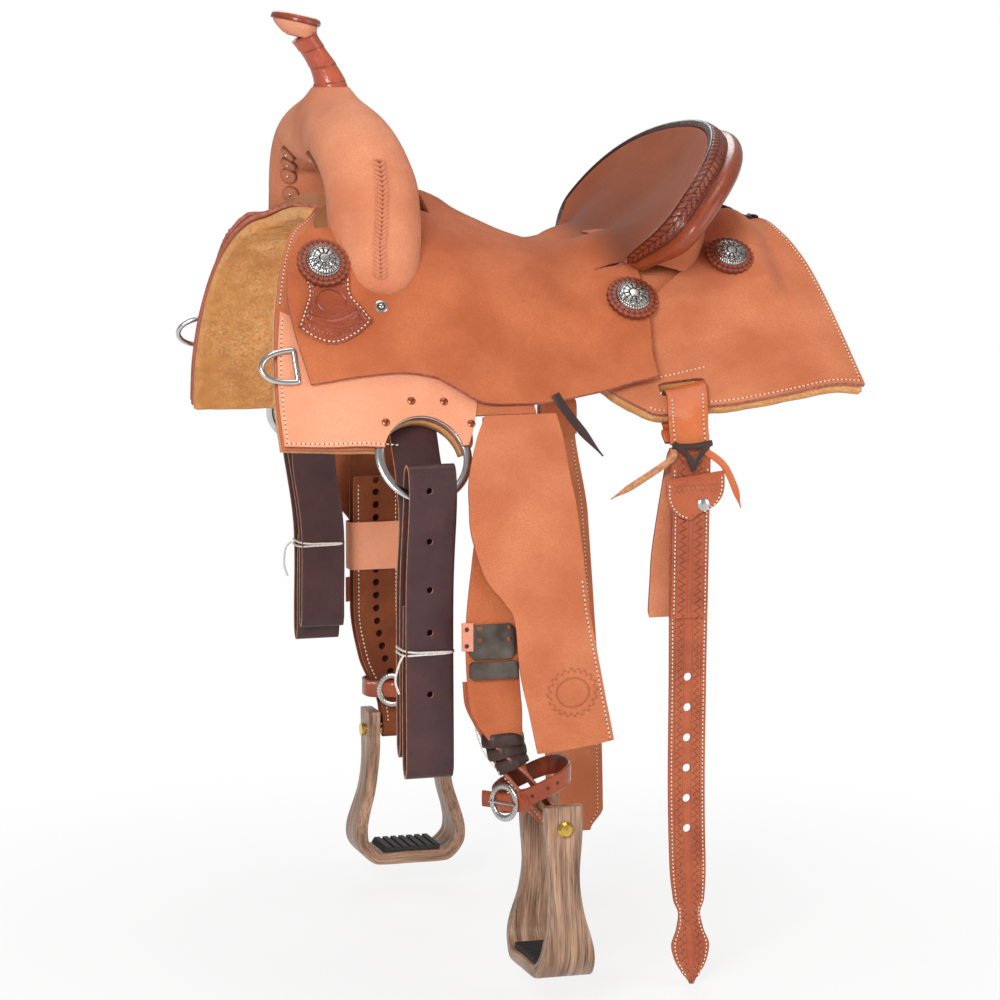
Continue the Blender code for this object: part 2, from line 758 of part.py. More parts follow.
def add_seat():
    """The seat and both jockeys: one sheet, open round the fork, its hand hole and the cantle."""
    rows = tuple(-row for row in reversed(SEAT_ROWS[1:])) + SEAT_ROWS
    ahead = 6
    columns = ahead + len(SEAT_COLUMNS) + 2

    def column_x(column, across):
        if column < ahead:
            front = blend(abs(across), JOCKEY_FRONT)
            return front + (FORK_BACK_X - front) * column / ahead
        return ((FORK_BACK_X,) + SEAT_COLUMNS + (JOCKEY_REAR_X,))[column - ahead]

    mesh_data = bmesh.new()
    bmesh.ops.create_grid(mesh_data, x_segments=columns - 1, y_segments=len(rows) - 1, size=0.5)
    places = {}
    for vertex in mesh_data.verts:
        column = round((vertex.co.x + 0.5) * (columns - 1))
        across = rows[round((vertex.co.y + 0.5) * (len(rows) - 1))]
        x = column_x(column, across)
        s = across * blend(x, JOCKEY_HEM)
        places[vertex] = (x, abs(across))
        vertex.co = surface(x, s, seat_height(x, s))
    gone = []
    for face in mesh_data.faces:
        x = sum(places[vertex][0] for vertex in face.verts) / 4
        row = sum(places[vertex][1] for vertex in face.verts) / 4
        by_fork = x < FORK_BACK_X and row < GAP_ROW
        by_hand_hole = x < HAND_HOLE_X and row < HAND_HOLE_ROW
        by_cantle = x > SEAT_BACK_X and row < GAP_ROW
        if by_fork or by_hand_hole or by_cantle:
            gone.append(face)
    bmesh.ops.delete(mesh_data, geom=gone, context="FACES")
    thicken(finish_mesh("seat_leather", mesh_data, "rough_leather"), LEATHER)


def ring_axis(side):
    return surface_frame(RING_CENTRE[0], side * RING_CENTRE[1], 0)


def skirt_place(side, height, top, bottom, front, rear, crowd=1.0):
    """Maps a grid onto a patch of the surface. crowd over 1 puts its rows closer at the top."""

    def place(u, v):
        x, s = patch(top, bottom, front, rear, u, v**crowd)
        return surface(x, side * s, height(x, s))

    return place


def add_skirts(side, arch, slot):
    name = SIDE_NAME[side]
    crowd = 1.3
    inner_edge = ((-0.218, 0.048), (-0.15, 0.048), (-0.08, 0.048), (-0.030, 0.048))
    middle_edge = ((-0.030, 0.048), (-0.030, 0.10), (-0.030, 0.150), (-0.030, 0.205))
    place = skirt_place(
        side, lambda x, s: SKIRT_MID, inner_edge, FRONT_HEM, SKIRT_FRONT, middle_edge, crowd
    )
    skirt = sheet(name + "_front_skirt", 14, 10, place, LEATHER, "rough_leather")
    cut(skirt, arch)

    spine_edge = ((0.213, 0.002), (0.24, 0.002), (0.27, 0.002), (0.296, 0.002))
    place = skirt_place(side, rear_skirt_height, spine_edge, REAR_HEM, CANTLE_EDGE, SKIRT_REAR)
    skirt = sheet(name + "_rear_skirt", 12, 14, place, LEATHER, "rough_leather")
    cut(skirt, slot)

    spine_edge = ((-0.214, 0.012), (-0.05, 0.012), (0.12, 0.012), (0.293, 0.012))
    front = ((-0.214, 0.012),) + SKIRT_FRONT[1:]
    rear = ((0.293, 0.012),) + SKIRT_REAR[1:]
    hem = FRONT_HEM + REAR_HEM
    place = skirt_place(side, lambda x, s: FLEECE_MID, spine_edge, hem, front, rear, crowd)
    fleece = sheet(name + "_fleece", 18, 10, place, FLEECE_THICKNESS, "fleece")
    cut(fleece, arch)
    cut(fleece, slot)


def add_rigging(side, arch):
    name = SIDE_NAME[side]
    top = ((-0.288, 0.205), (-0.24, 0.225), (-0.18, 0.235), (-0.13, 0.240), (-0.092, 0.245))
    bottom = ((-0.2965, 0.3465), (-0.24, 0.351), (-0.18, 0.350), (-0.13, 0.338), (-0.106, 0.330))
    front = ((-0.288, 0.205), (-0.295, 0.25), (-0.298, 0.30), (-0.2965, 0.3465))
    rear = ((-0.092, 0.245), (-0.090, 0.275), (-0.097, 0.305), (-0.106, 0.330))
    place = skirt_place(side, lambda x, s: RIG_LEAF_MID, top, bottom, front, rear)
    leaf = sheet(name + "_rigging_leather", 12, 4, place, RIG_LEAF_THICKNESS, "light_leather")
    cut(leaf, arch)

    frame = surface_frame(RING_CENTRE[0], side * RING_CENTRE[1], RING_MID)
    rings = []
    for index in range(28):
        turn = 2 * math.pi * index / 28
        spoke = Vector((math.cos(turn), math.sin(turn), 0))
        rings.append([
            frame @ (
                spoke * (RING_RADIUS + RING_BAR * math.cos(corner))
                + Vector((0, 0, 0.4 * RING_BAR * math.sin(corner)))
            )
            for corner in (2 * math.pi * k / 6 for k in range(6))
        ])
    loft(name + "_rigging_ring", rings, "steel", looped=True)


def dee_frame(side):
    """The dee's frame: origin in the middle of its straight bar, local X along the bar."""
    top = surface(DEE_BAR_TOP[0], side * DEE_BAR_TOP[1], DEE_HEIGHT)
    bottom = surface(DEE_BAR_TOP[0] + 0.002, side * (DEE_BAR_TOP[1] + DEE_LENGTH), DEE_HEIGHT)
    along = (bottom - top).normalized()
    out = surface_frame(DEE_BAR_TOP[0], side * DEE_BAR_TOP[1], 0).to_3x3() @ Vector((0, 0, 1))
    forward = along.cross(out).normalized()
    forward = forward if forward.x < 0 else -forward
    return (top + bottom) / 2, along, forward


def add_dee(side):
    centre, along, forward = dee_frame(side)
    half = DEE_LENGTH / 2
    points = [centre - along * half, centre + along * half]
    for index in range(1, 14):
        turn = math.pi * index / 14
        reach = forward * DEE_REACH * math.sin(turn) ** 0.8
        points.append(centre + along * half * math.cos(turn) + reach)
    wire(SIDE_NAME[side] + "_front_dee", points, DEE_WIRE, "steel", cyclic=True)


# Straps


def add_latigo(side, name, front_length, lean):
    """A folded strap: from behind the skirt, down, up, through the ring, and down in front."""
    bar = surface(RING_CENTRE[0], side * (RING_CENTRE[1] + RING_RADIUS), RING_MID)
    behind = [surface(RING_CENTRE[0], side * s, -0.0205) for s in (0.300, 0.335, 0.368)]
    drop = -front_length
    offsets = (
        (-0.0235, -0.030), (-0.0245, -0.100), (-0.0245, drop + 0.045), (-0.0235, drop + 0.026),
        (-0.0185, drop + 0.018), (-0.0135, drop + 0.026), (-0.0125, drop + 0.045),
        (-0.0115, -0.100), (-0.0110, -0.010), (-0.0100, 0.018), (-0.0050, 0.031), (0.0015, 0.0345),
        (0.0080, 0.030), (0.0112, 0.016), (0.0116, -0.010), (0.0120, -0.100), (0.0125, drop + 0.030),
        (0.0115, drop + 0.008), (0.0060, drop), (0.0002, drop + 0.006), (-0.0025, drop + 0.028),
        (-0.0035, -0.110),
    )
    points = behind + [
        bar + Vector((lean * ease(-up, 0.0, 0.08), side * out, up)) for out, up in offsets
    ]
    centres = through(points, 56)
    half = [Vector((LATIGO_WIDTH / 2, 0, 0))] * len(centres)
    ribbon(name, centres, half, STRAP, "dark_leather")


def billet_loop_edge(side, x):
    """One edge of the loop: up behind the skirt, out through its slot and down in front."""
    lean = NEAR_BILLET_LEAN if side == NEAR else 0.0
    return [
        Vector((x - lean, side * 0.2245, -0.1545)), Vector((x - lean, side * 0.2120, -0.1450)),
        surface(x, side * 0.268, -0.0205), surface(x, side * 0.252, -0.0200),
        surface(x, side * 0.2420, -0.0160), surface(x, side * 0.2385, -0.0060),
        surface(x, side * 0.2382, 0.0040), surface(x, side * 0.2410, 0.0092),
        surface(x, side * 0.250, 0.0110), surface(x - 0.5 * lean, side * 0.272, 0.0115),
        Vector((x - lean, side * 0.2345, -0.1360)), Vector((x - lean, side * 0.2400, -0.1545)),
    ]


def add_billet_loop(side):
    half = BILLET_WIDTH / 2
    edges = [billet_loop_edge(side, SLOT_CENTRE[0] + offset) for offset in (-half, half)]
    strap(SIDE_NAME[side] + "_billet_loop", edges, 26, STRAP, "tooled_leather")


def add_near_billet():
    """The rear billet: a short liner behind, folded over the top into the long strap in front."""
    x = SLOT_CENTRE[0] - NEAR_BILLET_LEAN
    points = [
        Vector((x - 0.022, -0.2330, -0.337)), Vector((x - 0.017, -0.2330, -0.26)),
        Vector((x - 0.003, -0.2325, -0.175)), Vector((x, -0.2335, -0.1625)), Vector((x, -0.2375, -0.1590)),
        Vector((x, -0.2415, -0.1625)), Vector((x, -0.2430, -0.175)), Vector((x - 0.002, -0.2450, -0.26)),
        Vector((x - 0.003, -0.2455, -0.40)), Vector((x - 0.003, -0.2455, -0.55)),
        Vector((x + 0.004, -0.2455, -0.732)),
    ]
    centres = through(points, 50)
    half = []
    for centre in centres:
        width = BILLET_WIDTH / 2
        if centre.y < -0.244:
            width = blend(-centre.z, (
                (0.26, 0.022), (0.400, 0.0205), (0.600, 0.0200), (0.640, 0.0170), (0.655, 0.0120),
                (0.672, 0.0150), (0.690, 0.0210), (0.705, 0.0180), (0.7325, 0.0015),
            ))
        half.append(Vector((width, 0, 0)))
    ribbon("near_rear_billet", centres, half, STRAP, "tooled_leather")


def add_billet_keeper():
    """The half-round flap that snaps over the billet, turned back at its top."""
    half_width = 0.032
    tip, shoulder, fold = -0.229, -0.200, -0.186

    def place(u, v):
        z = tip + (fold - tip) * u
        width = half_width * math.sqrt(max(0.03, 1 - max(0.0, (shoulder - z) / (shoulder - tip)) ** 2.2))
        y = -0.2515 + 0.0020 * ease(z, fold - 0.006, fold)
        return Vector((SLOT_CENTRE[0] - 0.006 + width * (2 * v - 1), y, z + 0.004 * (2 * v - 1)))

    sheet("near_billet_keeper", 8, 4, place, STRAP, "tooled_leather")


def add_flank_cinch():
    """The flank cinch, which hangs from the off billet loop."""
    points = [
        Vector((0.142, 0.2325, -0.200)), Vector((0.142, 0.2320, -0.177)), Vector((0.142, 0.2330, -0.1655)),
        Vector((0.142, 0.2375, -0.1615)), Vector((0.142, 0.2420, -0.1655)), Vector((0.142, 0.2435, -0.177)),
        Vector((0.145, 0.2450, -0.26)), Vector((0.155, 0.2460, -0.40)), Vector((0.165, 0.2460, -0.55)),
        Vector((0.168, 0.2460, -0.676)),
    ]
    centres = through(points, 40)
    half = []
    for centre in centres:
        width = 0.5 * BILLET_WIDTH
        if centre.y > 0.2433:
            width += 0.5 * (FLANK_CINCH_WIDTH - BILLET_WIDTH) * ease(-centre.z, 0.18, 0.30)
            width *= 1 - 0.45 * ease(-centre.z, 0.650, 0.676)
        half.append(Vector((width, 0, 0)))
    ribbon("off_flank_cinch", centres, half, 0.0045, "rough_leather")


# Stirrup leathers, fenders and stirrups


def hanger_edge(side, x):
    points = [surface(x, side * s, CHANNEL_MID) for s in (HANGER_TOP, 0.15, 0.19, 0.220)]
    return points + [Vector((x, side * FENDER_HINGE[0], FENDER_HINGE[1] + NECK_CLEARANCE))]


def add_hanger(side):
    """The stirrup leather between skirt and jockey, from the bar's notch to the jockey's hem."""
    half = LEATHER_WIDTH / 2
    edges = [hanger_edge(side, HANGER_X + offset) for offset in (-half, half)]
    strap(SIDE_NAME[side] + "_stirrup_hanger", edges, 12, FENDER_LEATHER, "rough_leather")


def leather_twist(side, z):
    """How far the leather is turned: the near one turns its stirrup to face forward."""
    return math.pi / 2 * ease(-z, 0.425, 0.505) if side == NEAR else 0.0


def leather_spine(side, z):
    spine = NEAR_SPINE if side == NEAR else OFF_SPINE
    return Vector((blend(-z, [(-height, x) for height, x in spine]), side * fender_y(z), z))


def leather_frame(side, z):
    """The leather's middle here, its wide direction, and the direction out of its face."""
    turn = leather_twist(side, z)
    wide = Vector((math.cos(turn), math.sin(turn), 0))
    down = leather_spine(side, z - 0.004) - leather_spine(side, z + 0.004)
    out = wide.cross(down).normalized()
    if out.dot(Vector((-side * math.sin(turn), side * math.cos(turn), 0))) < 0:
        out = -out
    return leather_spine(side, z), wide, out


def add_leather(side):
    """The stirrup leather: down to the stirrup's bolt, round its roller, and up to the buckle."""
    bolt_z = BOLT_Z[side]
    centres = []
    half = []

    def add(z, layer):
        middle, wide, out = leather_frame(side, z)
        centres.append(middle + out * leather_spread(z) * layer)
        half.append(wide * LEATHER_WIDTH / 2)

    steps = 22
    top = FENDER_HINGE[1] - NECK_CLEARANCE
    for index in range(steps + 1):
        add(top + (bolt_z - top) * index / steps, 1)
    middle, wide, out = leather_frame(side, bolt_z)
    around = wide.cross(out)
    around = around if around.z < 0 else -around
    for index in range(1, 8):
        angle = math.pi * index / 8
        centres.append(middle + LEATHER_LAYER * (out * math.cos(angle) + around * math.sin(angle)))
        half.append(wide * LEATHER_WIDTH / 2)
    for index in range(12):
        add(bolt_z + (-0.385 - bolt_z) * index / 11, -1)
    ribbon(SIDE_NAME[side] + "_stirrup_leather", centres, half, STRAP, "rough_leather")


def fender_normal(side, z):
    """Straight out of the fender's face."""
    step = 0.002
    rise = fender_y(z - step) - fender_y(z + step)
    return Vector((0, side * 2 * step, rise)).normalized()


def add_fender(side):
    """The broad outer blade of the fender."""
    last = len(BLADE_ROWS) - 1

    def place(u, v):
        z, left, right = BLADE_ROWS[round(u * last)]
        curl = 0.004 * (2 * v - 1) ** 2
        lift = leather_spread(z) + FENDER_OFFSET + (0.0100 - curl) * ease(-z, 0.18, 0.30)
        return Vector((left + (right - left) * v, side * fender_y(z), z)) + fender_normal(side, z) * lift

    sheet(SIDE_NAME[side] + "_fender", last, 4, place, FENDER_LEATHER, "rough_leather")


def plate(name, centre, size, key, wide, out):
    """A flat plate with its corners cut, its face across wide and its thickness along out."""
    half_w, half_h, thick = size[0] / 2, size[1] / 2, size[2]
    corner = 0.15 * min(size[0], size[1])
    outline = (
        (-half_w + corner, -half_h), (half_w - corner, -half_h), (half_w, -half_h + corner),
        (half_w, half_h - corner), (half_w - corner, half_h), (-half_w + corner, half_h),
        (-half_w, half_h - corner), (-half_w, -half_h + corner),
    )
    up = Vector((0, 0, 1))
    rings = [
        [centre + wide * a + up * b + out * depth for a, b in outline]
        for depth in (-thick / 2, thick / 2)
    ]
    return loft(name, rings, key)


def buckle_place(side, drop=0.0):
    """On the leather's outer face, in front of the fender's edge."""
    z = (-0.341 if side == NEAR else -0.388) - drop
    middle, wide, out = leather_frame(side, z)
    return middle + out * (LEATHER_LAYER + 0.0030), wide, out


def add_leather_buckle(side):
    """The stud plate on the leather and the steel sleeve that slides over it."""
    name = SIDE_NAME[side]
    centre, wide, out = buckle_place(side)
    plate(name + "_stud_plate", centre, (0.050, 0.036, 0.002), "dark_steel", wide, out)
    centre, wide, out = buckle_place(side, SLEEVE_DROP)
    sleeve_centre = centre + out * SLEEVE_CLEARANCE
    plate(name + "_buckle_sleeve", sleeve_centre, (0.052, 0.018, 0.003), "dark_steel", wide, out)


def hobble_ring(side, angle, grow=0.0):
    """A point round the hobble strap, measured from its middle."""
    half_x, half_y, lean = HOBBLE_SIZE[side]
    round_off = 0.7
    c, s = math.cos(angle), math.sin(angle)
    x = (half_x + grow) * math.copysign(abs(c) ** round_off, c)
    y = (half_y + grow) * math.copysign(abs(s) ** round_off, s)
    return Vector((x, y, lean * x))


def hobble_middle(side):
    shift = 0.008 if side == NEAR else 0.0
    return leather_spine(side, HOBBLE_Z) + Vector((shift, 0, 0))


def hobble_buckle_frame(side):
    """The buckle's middle, the direction it faces, and the direction of its tongue."""
    facing = math.radians(215 if side == NEAR else 270)
    out = Vector((math.cos(facing), math.sin(facing), 0))
    reach = max(
        hobble_ring(side, math.radians(turn), HOBBLE_STRAP).to_2d().dot(out.to_2d())
        for turn in range(0, 360, 5)
    )
    drop = Vector((0, 0, -0.012 if side == NEAR else 0.0))
    return hobble_middle(side) + out * (reach + 0.0030) + drop, out, Vector((-out.y, out.x, 0))


def add_hobble(side):
    """The strap round both layers of the leather, with its oval buckle and tongue."""
    name = SIDE_NAME[side]
    middle = hobble_middle(side)
    up = Vector((0, 0, HOBBLE_HEIGHT / 2))
    count = 20
    rings = []
    for index in range(count):
        angle = 2 * math.pi * index / count
        inner = middle + hobble_ring(side, angle)
        outer = middle + hobble_ring(side, angle, HOBBLE_STRAP)
        rings.append([inner - up, outer - up, outer + up, inner + up])
    loft(name + "_hobble_strap", rings, "tooled_leather", looped=True)

    face, out, along = hobble_buckle_frame(side)
    rings = []
    for index in range(20):
        turn = 2 * math.pi * index / 20
        spoke = along * (0.0150 * math.cos(turn)) + Vector((0, 0, 0.0165 * math.sin(turn)))
        rings.append([
            face + spoke * (1 + 0.20 * math.cos(corner)) + out * (0.0016 * math.sin(corner))
            for corner in (2 * math.pi * k / 6 for k in range(6))
        ])
    loft(name + "_hobble_buckle", rings, "silver", looped=True)
    lift = out * 0.0036
    ends = [face + along * reach + lift for reach in (-0.0165, 0.0, 0.0165)]
    wire(name + "_buckle_tongue", ends, 0.0014, "silver")


def stirrup_axes(side):
    """The stirrup's wide direction and depth direction: the near one hangs turned."""
    turn = leather_twist(side, BOLT_Z[side])
    return Vector((math.cos(turn), math.sin(turn), 0)), Vector((-math.sin(turn), math.cos(turn), 0))


def bolt_frame(side):
    wide, deep = stirrup_axes(side)
    frame = Matrix((deep, Vector((0, 0, 1)), wide)).transposed().to_4x4()
    if frame.determinant() < 0:
        frame = Matrix((-deep, Vector((0, 0, 1)), wide)).transposed().to_4x4()
    frame.translation = leather_spine(side, BOLT_Z[side])
    return frame


def add_stirrup(side):
    """Wooden bell stirrup, its rubber tread pad, and the bolt with its roller."""
    name = SIDE_NAME[side]
    wide, deep = stirrup_axes(side)
    bolt = leather_spine(side, BOLT_Z[side])
    path = list(STIRRUP_PATH) + [(-x, z) for x, z in reversed(STIRRUP_PATH[:-1])]
    centres = through([bolt + wide * x + Vector((0, 0, z)) for x, z in path], 34)
    half = [deep * blend(point.z - bolt.z, STIRRUP_DEPTH) / 2 for point in centres]
    stirrup = ribbon(name + "_stirrup", centres, half, STIRRUP_WOOD, "wood")
    cut(stirrup, cutter_rod(name + "_bolt_hole", BOLT_RADIUS + 0.0006, 0.12, bolt_frame(side), 16))

    tread_z = STIRRUP_BOTTOM + STIRRUP_WOOD / 2
    ribs = 7
    half_width, half_depth = 0.034, 0.028
    outline = [(-half_width, 0.0008), (half_width, 0.0008)]
    for index in range(ribs):
        right = half_width - 2 * half_width * index / ribs
        left = half_width - 2 * half_width * (index + 0.62) / ribs
        low = half_width - 2 * half_width * (index + 1) / ribs
        outline += [(right, 0.0064), (left, 0.0064)]
        if index < ribs - 1:
            outline += [(left - 0.0002, 0.0042), (low + 0.0002, 0.0042)]
    rings = [
        [bolt + wide * a + deep * across + Vector((0, 0, tread_z + b)) for a, b in outline]
        for across in (-half_depth, half_depth)
    ]
    loft(name + "_tread_pad", rings, "rubber")

    face = STIRRUP_PATH[0][0] + STIRRUP_WOOD / 2 + 0.0006
    roller = ROLLER_LENGTH / 2
    profile = (
        (0.0, face + 0.0064), (0.0060, face + 0.0054), (BOLT_HEAD_RADIUS, face + 0.0024),
        (BOLT_HEAD_RADIUS, face), (BOLT_RADIUS, face), (BOLT_RADIUS, roller + 0.0005),
        (ROLLER_RADIUS, roller), (ROLLER_RADIUS, -roller), (BOLT_RADIUS, -roller - 0.0005),
        (BOLT_RADIUS, -face), (NUT_RADIUS, -face), (NUT_RADIUS, -face - 0.0044), (0.0, -face - 0.0050),
    )
    frame = bolt_frame(side)
    if (frame.to_3x3() @ Vector((0, 0, 1))).y > 0 and side == NEAR:
        frame = frame @ Matrix.Rotation(math.pi, 4, "X")
    turned(name + "_stirrup_bolt", profile, "brass", frame, 12)


# Fittings


def add_concho(name, x, s, h, rosette=0.026):
    """A leather rosette with a domed silver face."""
    profile = (
        (0.0, 0.0100), (0.0080, 0.0092), (0.0150, 0.0064), (0.0175, 0.0040), (rosette - 0.001, 0.0034),
        (rosette, 0.0022), (rosette - 0.001, 0.0), (0.0, 0.0),
    )
    turned(name, profile, "silver", surface_frame(x, s, h), 16)


def add_latigo_keeper(side):
    """The stitched keeper under the front concho, shaped like a keyhole."""
    top = ((-0.262, 0.172), (-0.250, 0.170), (-0.236, 0.170), (-0.224, 0.172), (-0.214, 0.175))
    bottom = ((-0.274, 0.226), (-0.256, 0.240), (-0.236, 0.245), (-0.214, 0.236), (-0.194, 0.218))
    front = ((-0.262, 0.172), (-0.259, 0.190), (-0.266, 0.208), (-0.274, 0.226))
    rear = ((-0.214, 0.175), (-0.214, 0.192), (-0.204, 0.205), (-0.194, 0.218))

    def height(x, s):
        return seat_height(x, s) + 0.5 * LEATHER + 0.0009 + 0.5 * STRAP

    place = skirt_place(side, height, top, bottom, front, rear)
    sheet(SIDE_NAME[side] + "_latigo_keeper", 8, 6, place, STRAP, "tooled_leather")


def add_conchos(side):
    name = SIDE_NAME[side]
    bend = 0.0024
    front = (-0.241, 0.163)
    front_height = seat_height(*front) + 0.5 * LEATHER + STRAP + 0.0013 + bend
    add_concho(name + "_front_concho", front[0], side * front[1], front_height)
    middle = (0.098, 0.142)
    middle_height = seat_height(*middle) + 0.5 * LEATHER + 0.0004 + bend
    add_concho(name + "_seat_concho", middle[0], side * middle[1], middle_height)
    rear = (0.222, 0.108)
    rear_height = rear_skirt_height(*rear) + 0.5 * LEATHER + 0.0004 + 2 * bend
    add_concho(name + "_rear_concho", rear[0], side * rear[1], rear_height, 0.025)
    add_latigo_keeper(side)


def add_side(side):
    arch = cutter_rod(SIDE_NAME[side] + "_ring_arch", ARCH_RADIUS, 0.10, ring_axis(side))
    slot_frame = surface_frame(SLOT_CENTRE[0], side * SLOT_CENTRE[1], 0)
    slot_size = Vector((SLOT_SIZE[0], SLOT_SIZE[1], 0.06))
    slot = cutter_box(SIDE_NAME[side] + "_billet_slot", slot_size, slot_frame)
    add_bar(side)
    add_skirts(side, arch, slot)
    add_rigging(side, arch)
    add_dee(side)
    add_billet_loop(side)
    add_hanger(side)
    add_leather(side)
    add_fender(side)
    add_leather_buckle(side)
    add_hobble(side)
    add_stirrup(side)
    add_conchos(side)


for leftover in list(bpy.data.objects):
    bpy.data.objects.remove(leftover, do_unlink=True)
PARTS = new_collection("barrel_saddle")
CUTTERS = new_collection("cutters")

bars = [bar_space(bar_side) for bar_side in (NEAR, OFF)]
add_fork(bars)
add_cantle()
add_seat()
for build_side in (NEAR, OFF):
    add_side(build_side)
add_latigo(NEAR, "near_latigo", 0.287, -0.004)
add_latigo(OFF, "off_billet", 0.232, 0.013)
add_near_billet()
add_billet_keeper()
add_flank_cinch()
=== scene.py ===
import math

import bmesh
import bpy
import numpy as np
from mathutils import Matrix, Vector


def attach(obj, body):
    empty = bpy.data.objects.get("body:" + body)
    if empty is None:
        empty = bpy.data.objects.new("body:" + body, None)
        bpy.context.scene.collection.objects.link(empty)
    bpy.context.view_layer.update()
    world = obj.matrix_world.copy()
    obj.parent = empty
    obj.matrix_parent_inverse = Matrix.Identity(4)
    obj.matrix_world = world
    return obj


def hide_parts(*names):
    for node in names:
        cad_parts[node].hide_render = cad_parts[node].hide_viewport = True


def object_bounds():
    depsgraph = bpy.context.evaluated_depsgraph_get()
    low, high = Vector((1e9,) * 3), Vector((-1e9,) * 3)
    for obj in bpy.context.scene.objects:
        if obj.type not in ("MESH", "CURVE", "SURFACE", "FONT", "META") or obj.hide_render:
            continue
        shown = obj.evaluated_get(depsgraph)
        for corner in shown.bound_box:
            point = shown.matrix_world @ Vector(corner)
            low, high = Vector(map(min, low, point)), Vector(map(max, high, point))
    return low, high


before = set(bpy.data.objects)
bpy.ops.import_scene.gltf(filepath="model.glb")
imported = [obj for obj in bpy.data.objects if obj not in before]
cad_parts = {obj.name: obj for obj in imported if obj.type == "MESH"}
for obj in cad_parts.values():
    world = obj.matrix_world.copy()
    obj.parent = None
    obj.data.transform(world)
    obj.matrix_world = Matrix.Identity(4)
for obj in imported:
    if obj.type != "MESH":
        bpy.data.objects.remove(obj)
CAD_BOX = [list(corner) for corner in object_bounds()]

NEAR, OFF = -1, 1
SIDES = {NEAR: "near", OFF: "off"}
LEATHER_BODY = {NEAR: "near_fender_and_leather", OFF: "off_fender_and_leather"}

# The saddle surface, as the solids use it: x along the saddle, s down the side, h above the skirt
SPINE_HEIGHT = (
    (-0.32, 0.088), (-0.225, 0.0865), (-0.12, 0.060), (0.0, 0.024),
    (0.08, 0.014), (0.17, 0.028), (0.25, 0.052), (0.30, 0.060), (0.34, 0.056),
)
FLARE_DEGREES = ((-0.30, 70), (-0.15, 62), (0.0, 54), (0.15, 47), (0.30, 41))
SHOULDER = ((-0.30, 0.125), (0.0, 0.10), (0.15, 0.08), (0.30, 0.06))
LEATHER = 0.0045
SKIRT_MID = 0.5 * LEATHER
FLEECE_THICKNESS = 0.013
FLEECE_MID = -0.0082
RING_MID = 0.0069
RIG_LEAF_MID = 0.0113
CHANNEL_MID = 0.0105
JOCKEY_MID = 0.0188
SEAT_OVER_BAR = 0.0095
REAR_SKIRT_RISE = 0.0230
BUILD_UP = 0.014

# Outlines on the surface, as (x, s)
SKIRT_FRONT = (
    (-0.218, 0.048), (-0.235, 0.080), (-0.258, 0.105), (-0.276, 0.145), (-0.289, 0.195),
    (-0.296, 0.245), (-0.299, 0.300), (-0.297, 0.348),
)
FRONT_HEM = (
    (-0.297, 0.348), (-0.258, 0.351), (-0.215, 0.353), (-0.154, 0.347), (-0.105, 0.332),
    (-0.097, 0.305), (-0.088, 0.270), (-0.080, 0.215), (-0.030, 0.205),
)
REAR_HEM = (
    (0.045, 0.215), (0.070, 0.233), (0.092, 0.250), (0.113, 0.264), (0.162, 0.268),
    (0.200, 0.278), (0.240, 0.288), (0.290, 0.292), (0.330, 0.292),
)
CANTLE_EDGE = (
    (0.213, 0.002), (0.212, 0.030), (0.206, 0.058), (0.194, 0.083), (0.176, 0.104),
    (0.152, 0.122), (0.130, 0.137), (0.118, 0.153), (0.112, 0.168), (0.098, 0.181),
    (0.070, 0.195), (0.045, 0.215),
)
SKIRT_REAR = (
    (0.296, 0.002), (0.300, 0.050), (0.309, 0.085), (0.317, 0.120), (0.322, 0.160),
    (0.325, 0.200), (0.327, 0.235), (0.330, 0.292),
)
FRONT_SKIRT_TOP = ((-0.218, 0.048), (-0.15, 0.048), (-0.08, 0.048), (-0.030, 0.048))
FRONT_SKIRT_BACK = ((-0.030, 0.048), (-0.030, 0.10), (-0.030, 0.150), (-0.030, 0.205))
REAR_SKIRT_TOP = ((0.213, 0.002), (0.24, 0.002), (0.27, 0.002), (0.296, 0.002))
FLEECE_TOP = ((-0.214, 0.012), (-0.05, 0.012), (0.12, 0.012), (0.293, 0.012))
JOCKEY_HEM = (
    (-0.280, 0.287), (-0.214, 0.279), (-0.150, 0.264), (-0.134, 0.263), (-0.109, 0.272),
    (-0.086, 0.280), (-0.045, 0.271), (-0.006, 0.260), (0.046, 0.242), (0.093, 0.228),
    (0.114, 0.226),
)

# The seat's front edge as (share of the way down its side, x), its rear end, and its height as (x, z)
JOCKEY_FRONT = (
    (0.0, -0.225), (0.40, -0.229), (0.46, -0.258), (0.55, -0.274), (0.69, -0.280),
    (0.79, -0.277), (0.93, -0.269), (1.0, -0.265),
)
JOCKEY_REAR_X = 0.114
SEAT_PROFILE = (
    (-0.10, 0.1035), (-0.090, 0.101), (-0.074, 0.094), (-0.056, 0.082), (-0.028, 0.0685),
    (0.0, 0.056), (0.034, 0.0455), (0.069, 0.040), (0.12, 0.036),
)

# The seat's skin: where it meets the cantle, where it opens round the fork, and how far across it opens
SEAT_BACK_X = 0.080
SEAT_JOINT_X = 0.066
FORK_BACK_X = -0.1315
HAND_HOLE_X = -0.098
HAND_HOLE_ROW = 0.19
GAP_ROW = 0.44

